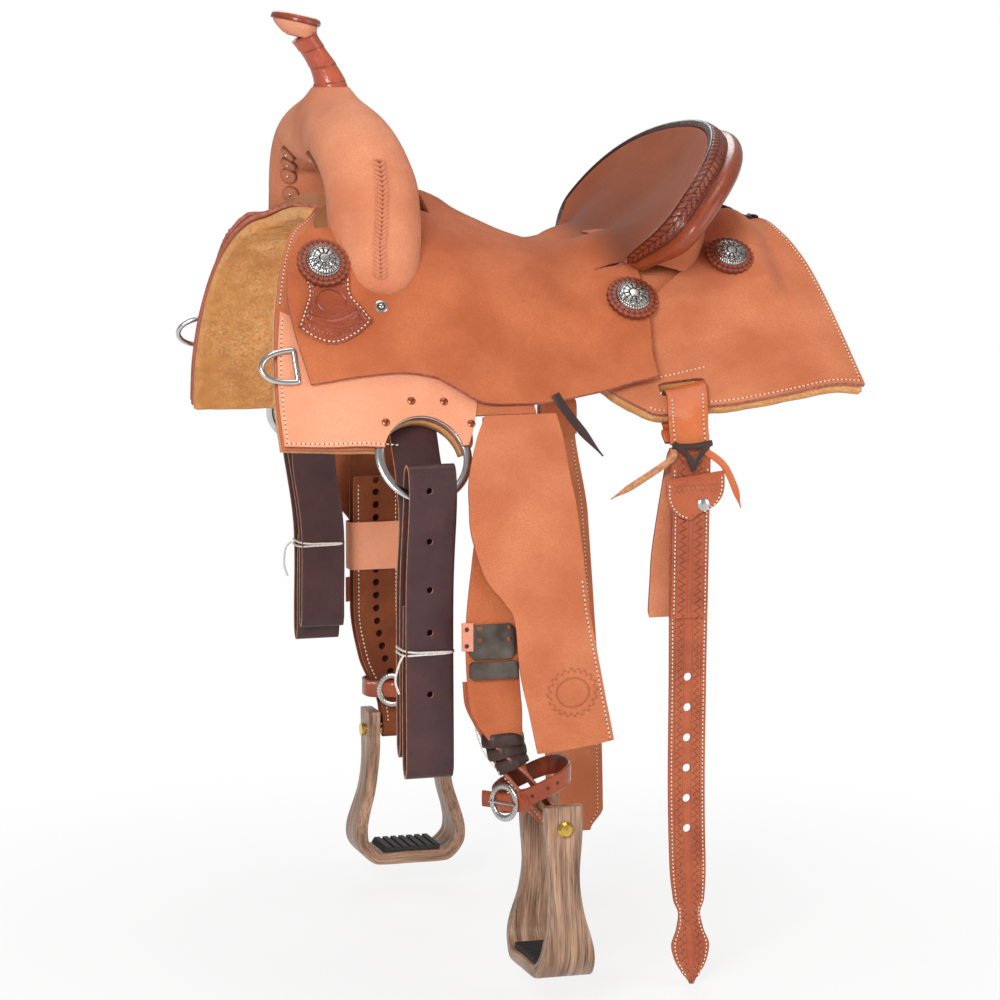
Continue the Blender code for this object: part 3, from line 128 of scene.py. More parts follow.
# Pieces with four sides, as their top, bottom, front and rear
RIG_LEAF_SIDES = (
    ((-0.288, 0.205), (-0.24, 0.225), (-0.18, 0.235), (-0.13, 0.240), (-0.092, 0.245)),
    ((-0.2965, 0.3465), (-0.24, 0.351), (-0.18, 0.350), (-0.13, 0.338), (-0.106, 0.330)),
    ((-0.288, 0.205), (-0.295, 0.25), (-0.298, 0.30), (-0.2965, 0.3465)),
    ((-0.092, 0.245), (-0.090, 0.275), (-0.097, 0.305), (-0.106, 0.330)),
)
KEEPER_SIDES = (
    ((-0.262, 0.172), (-0.250, 0.170), (-0.236, 0.170), (-0.224, 0.172), (-0.214, 0.175)),
    ((-0.274, 0.226), (-0.256, 0.240), (-0.236, 0.245), (-0.214, 0.236), (-0.194, 0.218)),
    ((-0.262, 0.172), (-0.259, 0.190), (-0.266, 0.208), (-0.274, 0.226)),
    ((-0.214, 0.175), (-0.214, 0.192), (-0.204, 0.205), (-0.194, 0.218)),
)

# Fork: half of its arch, as (y, z, tilt of the section, half length in x, half depth, centre x)
FORK_ARCH = (
    (0.0, 0.169, 90, 0.034, 0.038, -0.189), (0.062, 0.160, 55, 0.041, 0.0365, -0.186),
    (0.102, 0.138, 23, 0.044, 0.039, -0.1815), (0.122, 0.111, -7, 0.0455, 0.043, -0.1775),
    (0.129, 0.080, -25, 0.0455, 0.047, -0.1765), (0.134, 0.046, -36, 0.043, 0.049, -0.1765),
    (0.137, 0.026, -48, 0.034, 0.032, -0.1765), (0.138, 0.016, -54, 0.019, 0.017, -0.1765),
    (0.139, 0.010, -56, 0.002, 0.002, -0.1765),
)
FORK_SWELL = 1.035

# Horn: its neck as (x, z, radius), its cap, and the height where the fork's flare under it ends
HORN_NECK = (
    (-0.189, 0.2095, 0.0190), (-0.189, 0.2125, 0.0178), (-0.1935, 0.2260, 0.0150),
    (-0.2030, 0.2435, 0.0127), (-0.2130, 0.2585, 0.0130), (-0.2180, 0.2670, 0.0150),
)
HORN_CAP_CENTRE = np.array([-0.226, 0.0, 0.285])
HORN_CAP_TILT = math.radians(12.6)
FLARE_TOP = 0.2125

# The braid on the fork: its first station along the arch, how far it runs, and its angle
WELT_START = 2.34
WELT_REACH = 2.44
WELT_ANGLE = 86
WELT_TURN = 11

# Cantle
CANTLE_END = (0.0995, 0.0, 0.0285)
CANTLE_HEIGHT = 0.1425
CANTLE_RAKE = 0.1265
CANTLE_HALF_WIDTH = 0.176
CANTLE_END_WIDTH = 0.119
DISH_SAG = 0.018
DISH_BACKWARD = np.array([0.68, 0.0, -0.73])
ROLL_SECTION = (
    (0.0006, -0.0050), (0.0004, 0.0010), (0.0016, 0.0030), (0.0060, 0.0042), (0.0120, 0.0048),
    (0.0180, 0.0044), (0.0205, 0.0026), (0.0225, 0.0046), (0.0270, 0.0078), (0.0330, 0.0084),
    (0.0385, 0.0050), (0.0410, -0.0010), (0.0380, -0.0070), (0.0300, -0.0095), (0.0180, -0.0095),
    (0.0060, -0.0080),
)
BAND_START, BAND_END = 0.0014, 0.0190
ROLL_END_ANGLE = 89.2
ROLL_STAMP_DEPTH = 0.0008

# Tabs on the fork's front edge, as (station along the arch, angle round the fork)
TABS = ((1.15, 216), (1.90, 223), (3.05, 224), (4.10, 228))

# Rigging and straps
RIVETS = ((-0.191, 0.324), (-0.161, 0.294), (-0.126, 0.286), (-0.100, 0.305))
SCREW = (-0.1825, 0.199)
RING_CENTRE = (-0.154, 0.351)
RING_RADIUS = 0.0465
RING_BAR = 0.0047
ARCH_RADIUS = 0.0425
DEE_BAR_TOP = (-0.2795, 0.247)
DEE_LENGTH = 0.034
DEE_REACH = 0.036
DEE_WIRE = 0.0028
DEE_HEIGHT = 0.0162
SLOT_CENTRE = (0.142, 0.237)
SLOT_SIZE = (0.050, 0.018)
NEAR_BILLET_LEAN = 0.008
STRAP = 0.003
RIG_LEAF = 0.003
LATIGO_WIDTH = 0.050
LATIGO_HOLE = 0.0034
BILLET_WIDTH = 0.044
BILLET_HOLE = 0.0044
BILLET_FACE = -0.2455
BILLET_OVERLAY = 0.0024
BILLET_HOLES = 6
BILLET_FIRST_HOLE = 0.400
BILLET_HOLE_STEP = 0.0325
FLAP_X = SLOT_CENTRE[0] - 0.006
FLANK_CINCH_WIDTH = 0.070
FLANK_CINCH_LEATHER = 0.0045

# Stirrup leathers, fenders and stirrups
HANGER_X = -0.058
FENDER_HINGE = (0.218, -0.120)
FENDER_OUT = 0.072
FENDER_RUN = 0.150
LEATHER_WIDTH = 0.056
LEATHER_LAYER = 0.0085
FENDER_LEATHER = 0.0035
FENDER_OFFSET = 0.0050

# Rows of the fender's blade, as (z, front x, rear x)
BLADE_ROWS = (
    (-0.1225, -0.085, -0.008), (-0.145, -0.099, -0.006), (-0.180, -0.115, -0.008),
    (-0.208, -0.121, -0.0075), (-0.237, -0.122, -0.007), (-0.274, -0.110, -0.004),
    (-0.300, -0.090, -0.001), (-0.320, -0.079, 0.002), (-0.376, -0.073, 0.013), (-0.418, -0.063, 0.021),
    (-0.452, -0.054, 0.028),
)

# The middle line of each stirrup leather, as (z, x)
SPINE = {
    NEAR: (
        (-0.1215, -0.058), (-0.18, -0.072), (-0.26, -0.093), (-0.34, -0.100), (-0.40, -0.097),
        (-0.45, -0.084), (-0.49, -0.064), (-0.535, -0.031),
    ),
    OFF: (
        (-0.1215, -0.058), (-0.22, -0.064), (-0.40, -0.064), (-0.46, -0.055), (-0.515, -0.034),
        (-0.545, -0.031),
    ),
}
BOLT_Z = {NEAR: -0.535, OFF: -0.545}
BUCKLE_Z = {NEAR: -0.341, OFF: -0.388}
LEATHER_TIP_Z = {NEAR: -0.385, OFF: -0.245}
STIRRUP_WOOD = 0.014
STIRRUP_BOTTOM = -0.1500
HOBBLE_Z = -0.495
HOBBLE_HEIGHT = 0.020
HOBBLE_STRAP = 0.0028

# Hobbles: half their size in x and in y, and how steeply they lean
HOBBLE_SIZE = {NEAR: (0.036, 0.036, 0.42), OFF: (0.0375, 0.0205, 0.0)}

LEATHER_HOLE = 0.0043
LEATHER_HOLES = 16
LEATHER_FIRST_HOLE = 0.250
LEATHER_HOLE_STEP = 0.01525
OVAL_CENTRE = (-0.018, -0.396)

# Stirrups: half their path as (x, z) from the bolt, and their depth as (z, depth)
STIRRUP_PATH = (
    (0.0420, 0.023), (0.0420, 0.0), (0.0425, -0.035), (0.0470, -0.070), (0.0555, -0.100),
    (0.0590, -0.118), (0.0570, -0.134), (0.0450, -0.1475), (0.0330, STIRRUP_BOTTOM), (0.0, STIRRUP_BOTTOM),
)
STIRRUP_DEPTH = (
    (-0.150, 0.062), (-0.125, 0.054), (-0.085, 0.036), (-0.055, 0.032), (-0.015, 0.038), (0.023, 0.042),
)

TOOLING_DEPTH = 0.0007
STITCH_PITCH = 0.0047
CLOSE_PITCH = 0.0042
STITCH_INSET = 0.0055

# Conchos: x, s, lift over the leather beneath, radius of the rosette, radius of the silver
CONCHOS = {
    "front": (-0.241, 0.163, STRAP + 0.0018, 0.0275, 0.0188),
    "seat": (0.098, 0.142, 0.0010, 0.0280, 0.0190),
    "rear": (0.222, 0.108, 0.0026, 0.0270, 0.0185),
}

# Lights: place, what they face, size in metres, power in watts
LIGHTS = {
    "key": ((-1.9, -3.3, 1.3), (0, 0, -0.1), 1.3, 104),
    "fill": ((2.6, -2.4, 0.6), (0, 0, -0.2), 2.0, 30),
    "top": ((0.2, -0.4, 3.2), (0, 0, 0), 1.6, 26),
    "back": ((0.6, 2.8, 1.8), (0, 0, -0.1), 1.6, 30),
}
WORLD_LIGHT = 0.33
FLOOR_HALF = 30.0
FLOOR_GAP = 0.0015

# Camera: azimuth, elevation, distance, the height it looks at, lens
CAMERA = (math.radians(-17), math.radians(8), 4.2, -0.24, 137.9)


# Curves and places


def unit(vectors):
    return vectors / np.maximum(np.linalg.norm(vectors, axis=-1, keepdims=True), 1e-12)


def vec(*values):
    return np.array(values, float)


def bell(offset, width):
    """A smooth bump: 1 where the offset is nothing, and near 0 two widths away."""
    return np.exp(-((offset / width) ** 2))


def full_turn(count):
    """Even angles once round a circle."""
    return np.linspace(0, 2 * math.pi, count, endpoint=False)


def squared(wave, power):
    """A sine or cosine brought nearer to a square wave, by a power below 1."""
    return np.sign(wave) * np.abs(wave) ** power


def curve_at(value, points):
    """Heights on the smooth curve through (place, height) points, with no overshoot."""
    places, heights = np.array(points, float).T
    value = np.clip(value, places[0], places[-1])
    slopes = np.diff(heights) / np.diff(places)
    before, after = slopes[:-1], slopes[1:]
    steady = before * after > 0
    inner = np.where(steady, 2 * before * after / np.where(steady, before + after, 1.0), 0.0)
    tangents = np.concatenate([slopes[:1], inner, slopes[-1:]])
    index = np.clip(np.searchsorted(places, value, side="right") - 1, 0, len(places) - 2)
    step = places[index + 1] - places[index]
    t = (value - places[index]) / step
    return (
        (2 * t**3 - 3 * t**2 + 1) * heights[index] + (t**3 - 2 * t**2 + t) * step * tangents[index]
        + (3 * t**2 - 2 * t**3) * heights[index + 1] + (t**3 - t**2) * step * tangents[index + 1]
    )


def ease(value, start, end):
    t = np.clip((value - start) / (end - start), 0.0, 1.0)
    return t * t * (3 - 2 * t)


def slope_at(x, s):
    flare = np.radians(curve_at(x, FLARE_DEGREES))
    return flare * (1 - np.exp(-((np.abs(s) / curve_at(x, SHOULDER)) ** 2)))


def surface(x, s, h=0.0):
    """Points (x, s, h) of the saddle surface: s is negative on the near side."""
    x, s, h = (a.astype(float) for a in np.broadcast_arrays(x, s, h))
    steps = 40
    length = np.abs(s) / steps
    y = np.zeros_like(x)
    z = curve_at(x, SPINE_HEIGHT)
    for index in range(steps):
        slope = slope_at(x, (index + 0.5) * length)
        y += np.cos(slope) * length
        z = z - np.sin(slope) * length
    slope = slope_at(x, s)
    side = np.where(s < 0, NEAR, OFF)
    return np.stack([x, side * (y + np.sin(slope) * h), z + np.cos(slope) * h], -1)


def surface_axes(x, s):
    """Directions on the surface: along the saddle, across it, and out of the leather."""
    slope = float(slope_at(x, s))
    side = NEAR if s < 0 else OFF
    out = vec(0, side * math.sin(slope), math.cos(slope))
    return vec(1, 0, 0), vec(0, math.cos(slope), -side * math.sin(slope)), out


def build_up(x, s=0.0):
    along_x = ease(x, 0.03, 0.09) * (1 - ease(x, 0.13, 0.22))
    return BUILD_UP * along_x * (1 - ease(np.abs(s), 0.150, 0.200))


def seat_height(x, s):
    side_height = JOCKEY_MID + SEAT_OVER_BAR * (1 - ease(np.abs(s), 0.148, 0.198)) + build_up(x, s)
    centre = curve_at(x, SEAT_PROFILE) - SKIRT_MID - curve_at(x, SPINE_HEIGHT)
    mix = ease(np.abs(s), 0.0, 0.068)
    front_drop = 0.0085 * (1 - ease(x, -0.272, -0.246)) * (1 - ease(np.abs(s), 0.150, 0.198))
    return centre * (1 - mix) + side_height * mix - front_drop


def rear_skirt_height(x, s):
    over_bar = (REAR_SKIRT_RISE + build_up(x)) * (1 - ease(np.abs(s), 0.143, 0.190))
    near_spine = 0.80 + 0.20 * ease(np.abs(s), 0.0, 0.045)
    return SKIRT_MID + over_bar * near_spine * (1 - ease(x, 0.25, 0.285))


def at_fraction(points, fraction):
    """Points of the smooth curve through a list of points, at a fraction counted by point."""
    points = np.array(points, float)
    last = len(points) - 1
    place = np.clip(np.asarray(fraction, float) * last, 0, last)
    index = np.minimum(place.astype(int), last - 1)
    t = (place - index)[..., None]
    p0, p1 = points[np.maximum(index - 1, 0)], points[index]
    p2, p3 = points[index + 1], points[np.minimum(index + 2, last)]
    return 0.5 * (
        2 * p1 + (p2 - p0) * t + (2 * p0 - 5 * p1 + 4 * p2 - p3) * t**2
        + (3 * p1 - p0 - 3 * p2 + p3) * t**3
    )


def lengths_along(path):
    """The distance from a path's start to each of its points."""
    return np.concatenate([[0], np.cumsum(np.linalg.norm(np.diff(path, axis=0), axis=1))])


def columns_at(data, lengths, wanted):
    """Every column of data, which is known at some lengths, at the wanted lengths."""
    return np.stack([np.interp(wanted, lengths, column) for column in data.T], -1)


def even(path, count):
    """count points at equal steps along a fine path."""
    lengths = lengths_along(path)
    return columns_at(path, lengths, np.linspace(0, lengths[-1], count))


def through(points, count):
    """An even path of count points on the smooth curve through a few points."""
    return even(at_fraction(points, np.linspace(0, 1, 12 * (len(points) - 1) + 1)), count)


def patch(top, bottom, front, rear, u, v):
    """A four-sided patch whose sides are lists of (x, s), as an array of (x, s)."""
    t, b = at_fraction(top, u), at_fraction(bottom, u)
    f, r = at_fraction(front, v), at_fraction(rear, v)
    u, v = u[..., None], v[..., None]
    corners = [np.array(p, float) for p in (front[0], rear[0], front[-1], rear[-1])]
    return (
        (1 - v) * t + v * b + (1 - u) * f + u * r - (1 - u) * (1 - v) * corners[0]
        - u * (1 - v) * corners[1] - (1 - u) * v * corners[2] - u * v * corners[3]
    )


def unit_grid(columns, rows):
    return np.meshgrid(np.linspace(0, 1, columns), np.linspace(0, 1, rows), indexing="ij")


def noise_field(shape, cell, seed):
    """Smooth random values from -1 to 1 on a grid; cell is the size of a bump in grid steps."""
    rng = np.random.default_rng(seed)
    coarse = rng.uniform(-1, 1, [int(n / cell) + 3 for n in shape])
    u, v = (np.arange(n) / cell for n in shape)
    iu, iv = u.astype(int), v.astype(int)
    fu, fv = u - iu, v - iv
    fu, fv = (fu * fu * (3 - 2 * fu))[:, None], (fv * fv * (3 - 2 * fv))[None, :]
    a, b = coarse[np.ix_(iu, iv)], coarse[np.ix_(iu + 1, iv)]
    c, d = coarse[np.ix_(iu, iv + 1)], coarse[np.ix_(iu + 1, iv + 1)]
    return (a * (1 - fu) + b * fu) * (1 - fv) + (c * (1 - fu) + d * fu) * fv


# Materials


def rgb(red, green, blue):
    """A colour as a screen shows it, 0 to 255, in Blender's own scale."""
    channels = []
    for value in (red, green, blue):
        part = value / 255
        channels.append(part / 12.92 if part <= 0.04045 else ((part + 0.055) / 1.055) ** 2.4)
    return (*channels, 1.0)


def put(tree, socket, value):
    """Links or sets one input of a node."""
    if isinstance(value, bpy.types.NodeSocket):
        tree.links.new(value, socket)
    else:
        socket.default_value = value


def add_node(tree, kind, *ordered, **named):
    """A new shader node, its inputs given by their order or by their names."""
    node = tree.nodes.new("ShaderNode" + kind)
    for socket, value in zip(node.inputs, ordered):
        put(tree, socket, value)
    for name, value in named.items():
        put(tree, node.inputs[name.replace("_", " ")], value)
    return node


def add_math(tree, operation, first, second):
    node = add_node(tree, "Math", first, second)
    node.operation = operation
    return node.outputs[0]


class Finish:
    """A procedural material, built node by node."""

    def __init__(self, name):
        self.material = bpy.data.materials.new(name)
        self.material.use_nodes = True
        self.tree = self.material.node_tree
        self.shader = self.tree.nodes["Principled BSDF"]
        self.place = add_node(self.tree, "TexCoord").outputs["Object"]

    def set(self, **values):
        for name, value in values.items():
            put(self.tree, self.shader.inputs[name.replace("_", " ")], value)

    def attribute(self, name, output="Fac"):
        node = add_node(self.tree, "Attribute")
        node.attribute_name = name
        return node.outputs[output]

    def noise(self, scale, detail=3.0, stretch=(1, 1, 1), place=None, roughness=0.55):
        place = add_node(self.tree, "Mapping", Vector=place or self.place, Scale=stretch).outputs["Vector"]
        made = add_node(self.tree, "TexNoise", Vector=place, Scale=scale, Detail=detail, Roughness=roughness)
        return made.outputs["Fac"]

    def cells(self, scale):
        return add_node(self.tree, "TexVoronoi", Vector=self.place, Scale=scale).outputs["Distance"]

    def span(self, value, low, high, bottom=0.0, top=1.0):
        """A value from low to high, stretched to go from bottom to top."""
        ends = {"From_Min": low, "From_Max": high, "To_Min": bottom, "To_Max": top}
        return add_node(self.tree, "MapRange", Value=value, **ends).outputs["Result"]

    def mix(self, share, first, second):
        node = add_node(self.tree, "Mix", share)
        node.data_type = "RGBA"
        put(self.tree, node.inputs[6], first)
        put(self.tree, node.inputs[7], second)
        return node.outputs[2]

    def plus(self, first, second):
        return add_math(self.tree, "ADD", first, second)

    def times(self, first, second):
        return add_math(self.tree, "MULTIPLY", first, second)

    def bump(self, height, distance, strength):
        node = add_node(self.tree, "Bump", Height=height, Distance=distance, Strength=strength)
        self.set(Normal=node.outputs["Normal"])


def suede(name, light, dark, fleck, deep):
    """Rough-out leather: soft mottling, short nap, dark flecks, and a darker colour by its tone."""
    made = Finish(name)
    mottle = made.span(made.noise(14, 5), 0.36, 0.64)
    nap = made.span(made.noise(620, 3), 0.36, 0.64)
    fine = made.span(made.noise(1100, 2), 0.42, 0.66)
    base = made.mix(mottle, light, dark)
    base = made.mix(made.times(nap, 0.45), base, dark)
    base = made.mix(made.times(fine, 0.22), base, fleck)
    flecks = made.span(made.noise(210, 5, roughness=0.75), 0.64, 0.74)
    base = made.mix(made.times(flecks, 0.30), base, fleck)
    base = made.mix(made.attribute("tone"), base, deep)
    made.set(Base_Color=base, Roughness=0.93, Sheen_Weight=0.05, Sheen_Roughness=0.5, Specular_IOR_Level=0.22)
    made.bump(made.plus(made.noise(800, 3), made.noise(200, 3)), 0.0009, 0.9)
    return made.material


def hide(name, light, dark, deep, gloss, grain=0.00035):
    """Smooth finished leather: fine pores, uneven dye, and dark colour in what its tone marks."""
    made = Finish(name)
    dye = made.span(made.noise(26, 4), 0.3, 0.7)
    pores = made.span(made.cells(900), 0.05, 0.45)
    base = made.mix(dye, light, dark)
    base = made.mix(made.times(made.span(made.noise(240, 3), 0.5, 0.75), 0.35), base, dark)
    base = made.mix(made.attribute("tone"), base, deep)
    shine = made.span(made.noise(60, 3), 0.3, 0.7, gloss - 0.06, gloss + 0.08)
    made.set(Base_Color=base, Roughness=shine, Coat_Weight=0.18, Coat_Roughness=0.3, Specular_IOR_Level=0.4)
    made.bump(made.plus(pores, made.noise(120, 3)), grain, 0.6)
    return made.material


def metal(name, light, dark, rough, scratch=1.0):
    """Metal with soft smudges and fine scratches; its tone marks blackened recesses."""
    made = Finish(name)
    smudge = made.span(made.noise(45, 4), 0.35, 0.7)
    base = made.mix(made.attribute("tone"), made.mix(smudge, light, dark), rgb(34, 31, 29))
    scratches = made.noise(500, 2, (1, 1, 6))
    made.set(Base_Color=base, Metallic=1.0, Roughness=made.span(smudge, 0, 1, rough - 0.05, rough + 0.09))
    made.bump(scratches, 0.00006 * scratch, 0.5)
    return made.material


def wool(name):
    """Curled wool, darker in what its tone marks."""
    made = Finish(name)
    curl = made.span(made.noise(330, 5), 0.32, 0.68)
    base = made.mix(curl, rgb(255, 214, 150), rgb(236, 142, 72))
    base = made.mix(made.span(made.noise(22, 3), 0.35, 0.7), base, rgb(232, 162, 94))
    base = made.mix(made.attribute("tone"), base, rgb(176, 106, 50))
    made.set(Base_Color=base, Roughness=1.0, Sheen_Weight=0.2, Sheen_Roughness=0.4, Specular_IOR_Level=0.1)
    made.bump(made.plus(made.noise(420, 5), made.noise(1300, 3)), 0.0016, 0.9)
    return made.material


def timber(name, light, dark, line, rough):
    """Wood whose grain follows the piece: its grain attribute holds places along and across it."""
    made = Finish(name)
    place = made.attribute("grain", "Vector")
    broad = made.span(made.noise(26, 4, (0.5, 5, 5), place), 0.34, 0.66)
    fine = made.span(made.noise(90, 5, (0.22, 9, 9), place, 0.7), 0.50, 0.66)
    pores = made.span(made.noise(160, 3, (0.12, 12, 12), place), 0.60, 0.70)
    base = made.mix(broad, light, dark)
    base = made.mix(made.times(fine, 0.85), base, line)
    base = made.mix(made.times(pores, 0.8), base, rgb(38, 26, 18))
    made.set(Base_Color=base, Roughness=rough, Coat_Weight=0.1, Coat_Roughness=0.4)
    made.bump(made.plus(fine, pores), 0.0004, 0.5)
    return made.material


def plain(name, light, dark, rough, scale, depth=0.0002):
    """A matt finish between two colours, with a fine grain."""
    made = Finish(name)
    base = made.mix(made.span(made.noise(scale, 3), 0.35, 0.65), light, dark)
    made.set(Base_Color=base, Roughness=rough)
    made.bump(made.noise(scale * 2, 3), depth, 0.7)
    return made.material


MATERIALS = {
    "rough": suede("rough_out", rgb(222, 138, 98), rgb(200, 114, 76), rgb(138, 70, 44), rgb(112, 60, 42)),
    "fork": suede(
        "fork_rough_out", rgb(236, 158, 120), rgb(212, 130, 94),
        rgb(146, 82, 58), rgb(112, 60, 44),
    ),
    "seat": suede(
        "seat_rough_out", rgb(208, 120, 78), rgb(184, 98, 60),
        rgb(128, 62, 38), rgb(112, 62, 44),
    ),
    "light": suede(
        "light_leather", rgb(244, 172, 136), rgb(232, 154, 118),
        rgb(196, 122, 88), rgb(150, 92, 62),
    ),
    "pink": suede(
        "pink_leather", rgb(240, 164, 138), rgb(226, 142, 116),
        rgb(170, 98, 76), rgb(120, 66, 50),
    ),
    "inner": suede(
        "strap_flesh_side", rgb(140, 78, 46), rgb(108, 54, 30),
        rgb(96, 50, 30), rgb(70, 36, 24),
    ),
    "edge": plain("cut_edge", rgb(190, 118, 100), rgb(150, 84, 70), 0.85, 260),
    "dark_edge": plain("dark_cut_edge", rgb(112, 62, 46), rgb(84, 44, 34), 0.7, 260),
    "tan_edge": plain("tan_cut_edge", rgb(206, 146, 104), rgb(170, 112, 76), 0.85, 260),
    "tooled": hide("tooled_leather", rgb(188, 96, 56), rgb(160, 72, 38), rgb(70, 20, 10), 0.27),
    "chestnut": hide("chestnut_leather", rgb(164, 76, 40), rgb(136, 54, 26), rgb(58, 18, 8), 0.22),
    "orange": hide("orange_leather", rgb(214, 116, 64), rgb(192, 92, 44), rgb(104, 44, 20), 0.28),
    "horn": hide("horn_leather", rgb(188, 92, 64), rgb(150, 62, 42), rgb(70, 20, 14), 0.13, 0.0002),
    "rosette": hide("rosette_leather", rgb(164, 76, 46), rgb(134, 54, 32), rgb(54, 18, 12), 0.38),
    "latigo": hide("latigo_leather", rgb(76, 42, 44), rgb(58, 30, 33), rgb(26, 12, 14), 0.44),
    "thread": plain("thread", rgb(240, 228, 206), rgb(216, 200, 172), 0.8, 700, 0.0001),
    "needle": plain("stitch_hole", rgb(92, 48, 34), rgb(66, 32, 24), 0.95, 500),
    "tie": plain("tie_string", rgb(238, 232, 226), rgb(208, 198, 192), 0.85, 600, 0.0003),
    "lace": hide("dark_lace", rgb(66, 38, 32), rgb(44, 24, 22), rgb(20, 10, 9), 0.5),
    "fleece": wool("fleece"),
    "walnut": timber("walnut", rgb(196, 154, 124), rgb(122, 88, 66), rgb(46, 30, 22), 0.40),
    "tree": timber("tree_wood", rgb(176, 120, 76), rgb(150, 98, 58), rgb(116, 70, 40), 0.8),
    "steel": metal("steel", rgb(214, 213, 212), rgb(190, 189, 188), 0.2),
    "dark_steel": metal("dark_steel", rgb(122, 112, 104), rgb(84, 76, 70), 0.36, 3.0),
    "silver": metal("silver", rgb(206, 203, 198), rgb(168, 164, 160), 0.24, 1.5),
    "copper": metal("copper", rgb(176, 104, 74), rgb(146, 80, 54), 0.34),
    "brass": metal("brass", rgb(226, 190, 104), rgb(204, 162, 76), 0.26),
    "rubber": plain("rubber", rgb(44, 42, 42), rgb(30, 28, 28), 0.75, 400),
}


# Mesh building


def grid_faces(columns, rows, loop_u=False, loop_v=False):
    """Faces of a grid of points, which may close on itself either way."""
    i = np.arange(columns if loop_u else columns - 1)
    j = np.arange(rows if loop_v else rows - 1)
    i, j = (a.ravel() for a in np.meshgrid(i, j, indexing="ij"))
    after_i, after_j = (i + 1) % columns, (j + 1) % rows
    return np.stack([i * rows + j, after_i * rows + j, after_i * rows + after_j, i * rows + after_j], -1)


def normals_of(grid):
    return unit(np.cross(np.gradient(grid, axis=0), np.gradient(grid, axis=1)))


def facing(grid, toward):
    """The grid, turned if need be, so that its normals point toward a direction."""
    mean = (normals_of(grid) * toward).sum(-1).mean()
    return grid if mean > 0 else grid[::-1]


def sample(grid, u, v):
    columns, rows = grid.shape[:2]
    a, b = np.clip(u, 0, 1) * (columns - 1), np.clip(v, 0, 1) * (rows - 1)
    i, j = np.minimum(a.astype(int), columns - 2), np.minimum(b.astype(int), rows - 2)
    fa, fb = (a - i)[..., None], (b - j)[..., None]
    return (
        (grid[i, j] * (1 - fa) + grid[i + 1, j] * fa) * (1 - fb)
        + (grid[i, j + 1] * (1 - fa) + grid[i + 1, j + 1] * fa) * fb
    )


def new_object(name, data):
    made = bpy.data.objects.new(name, data)
    bpy.context.scene.collection.objects.link(made)
    return made


class Form:
    """Points and faces gathered for one object, each batch with its material."""

    def __init__(self, *keys):
        self.keys = keys
        self.points, self.faces, self.marks, self.tones, self.grains = [], [], [], [], []
        self.count = 0

    def add(self, points, faces, key, tone=0.0, grain=None):
        points = np.reshape(points, (-1, 3))
        self.points.append(points)
        self.faces.extend((np.asarray(faces) + self.count).tolist())
        self.marks.extend([self.keys.index(key)] * len(faces))
        tone = np.ravel(tone)
        self.tones.append(np.broadcast_to(tone, len(points)) if tone.size == 1 else tone)
        self.grains.append(points if grain is None else np.reshape(grain, (-1, 3)))
        self.count += len(points)

    def mesh(self, name, merge=0.0):
        mesh = bpy.data.meshes.new(name)
        mesh.from_pydata(np.concatenate(self.points).tolist(), [], self.faces)
        mesh.polygons.foreach_set("material_index", self.marks)
        tone = mesh.attributes.new("tone", "FLOAT", "POINT")
        tone.data.foreach_set("value", np.concatenate(self.tones).astype(np.float32))
        if any(MATERIALS[key].name.endswith(("walnut", "wood")) for key in self.keys):
            grain = mesh.attributes.new("grain", "FLOAT_VECTOR", "POINT")
            grain.data.foreach_set("vector", np.concatenate(self.grains).astype(np.float32).ravel())
        work = bmesh.new()
        work.from_mesh(mesh)
        if merge:
            bmesh.ops.remove_doubles(work, verts=work.verts, dist=merge)
        bmesh.ops.recalc_face_normals(work, faces=work.faces)
        work.to_mesh(mesh)
        work.free()
        return mesh

    def build(self, name, body, replaces=(), angle=40, merge=0.0, modify=None):
        made = new_object(name, self.mesh(name, merge))
        for key in self.keys:
            made.data.materials.append(MATERIALS[key])
        if modify:
            modify(made)
            freeze(made)
        made.data.shade_smooth()
        made.data.set_sharp_from_angle(angle=math.radians(angle))
        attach(made, body)
        if replaces:
            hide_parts(*replaces)

    def build_stitching(self, name, body):
        self.build(name + "_stitching", body, angle=60)


def freeze(made):
    """Applies the modifiers of an object."""
    graph = bpy.context.evaluated_depsgraph_get()
    mesh = bpy.data.meshes.new_from_object(made.evaluated_get(graph), depsgraph=graph)
    made.modifiers.clear()
    made.data = mesh


def cutting(points, faces):
    """A cutter whose faces leave the second material."""
    mesh = bpy.data.meshes.new("cutter")
    mesh.from_pydata(np.reshape(points, (-1, 3)).tolist(), [], np.asarray(faces).tolist())
    for _ in range(2):
        mesh.materials.append(None)
    mesh.polygons.foreach_set("material_index", [1] * len(mesh.polygons))
    work = bmesh.new()
    work.from_mesh(mesh)
    bmesh.ops.holes_fill(work, edges=work.edges, sides=0)
    for face in work.faces:
        face.material_index = 1
    bmesh.ops.recalc_face_normals(work, faces=work.faces)
    work.to_mesh(mesh)
    work.free()
    return new_object("cutter", mesh)


def rods(centres, axes, radius, length, sides=20):
    """Round rods to cut with, one for each centre."""
    points, faces = [], []
    for index, (centre, axis) in enumerate(zip(centres, axes)):
        axis = unit(np.array(axis, float))
        across = unit(np.cross(axis, vec(0.12, 0.2, 1)))
        other = np.cross(axis, across)
        turn = full_turn(sides)[:, None]
        ring = across * np.cos(turn) * radius + other * np.sin(turn) * radius
        both = np.stack([centre + ring - axis * length / 2, centre + ring + axis * length / 2])
        points.append(both.reshape(-1, 3))
        faces.append(grid_faces(2, sides, loop_v=True) + index * 2 * sides)
    return cutting(np.concatenate(points), np.concatenate(faces))


def thicken(made, thickness):
    """Gives a sheet its thickness, half to each side; the cut edges take the second material."""
    solid = made.modifiers.new("Thickness", "SOLIDIFY")
    solid.thickness = thickness
    solid.offset = 0.0
    solid.material_offset_rim = 1


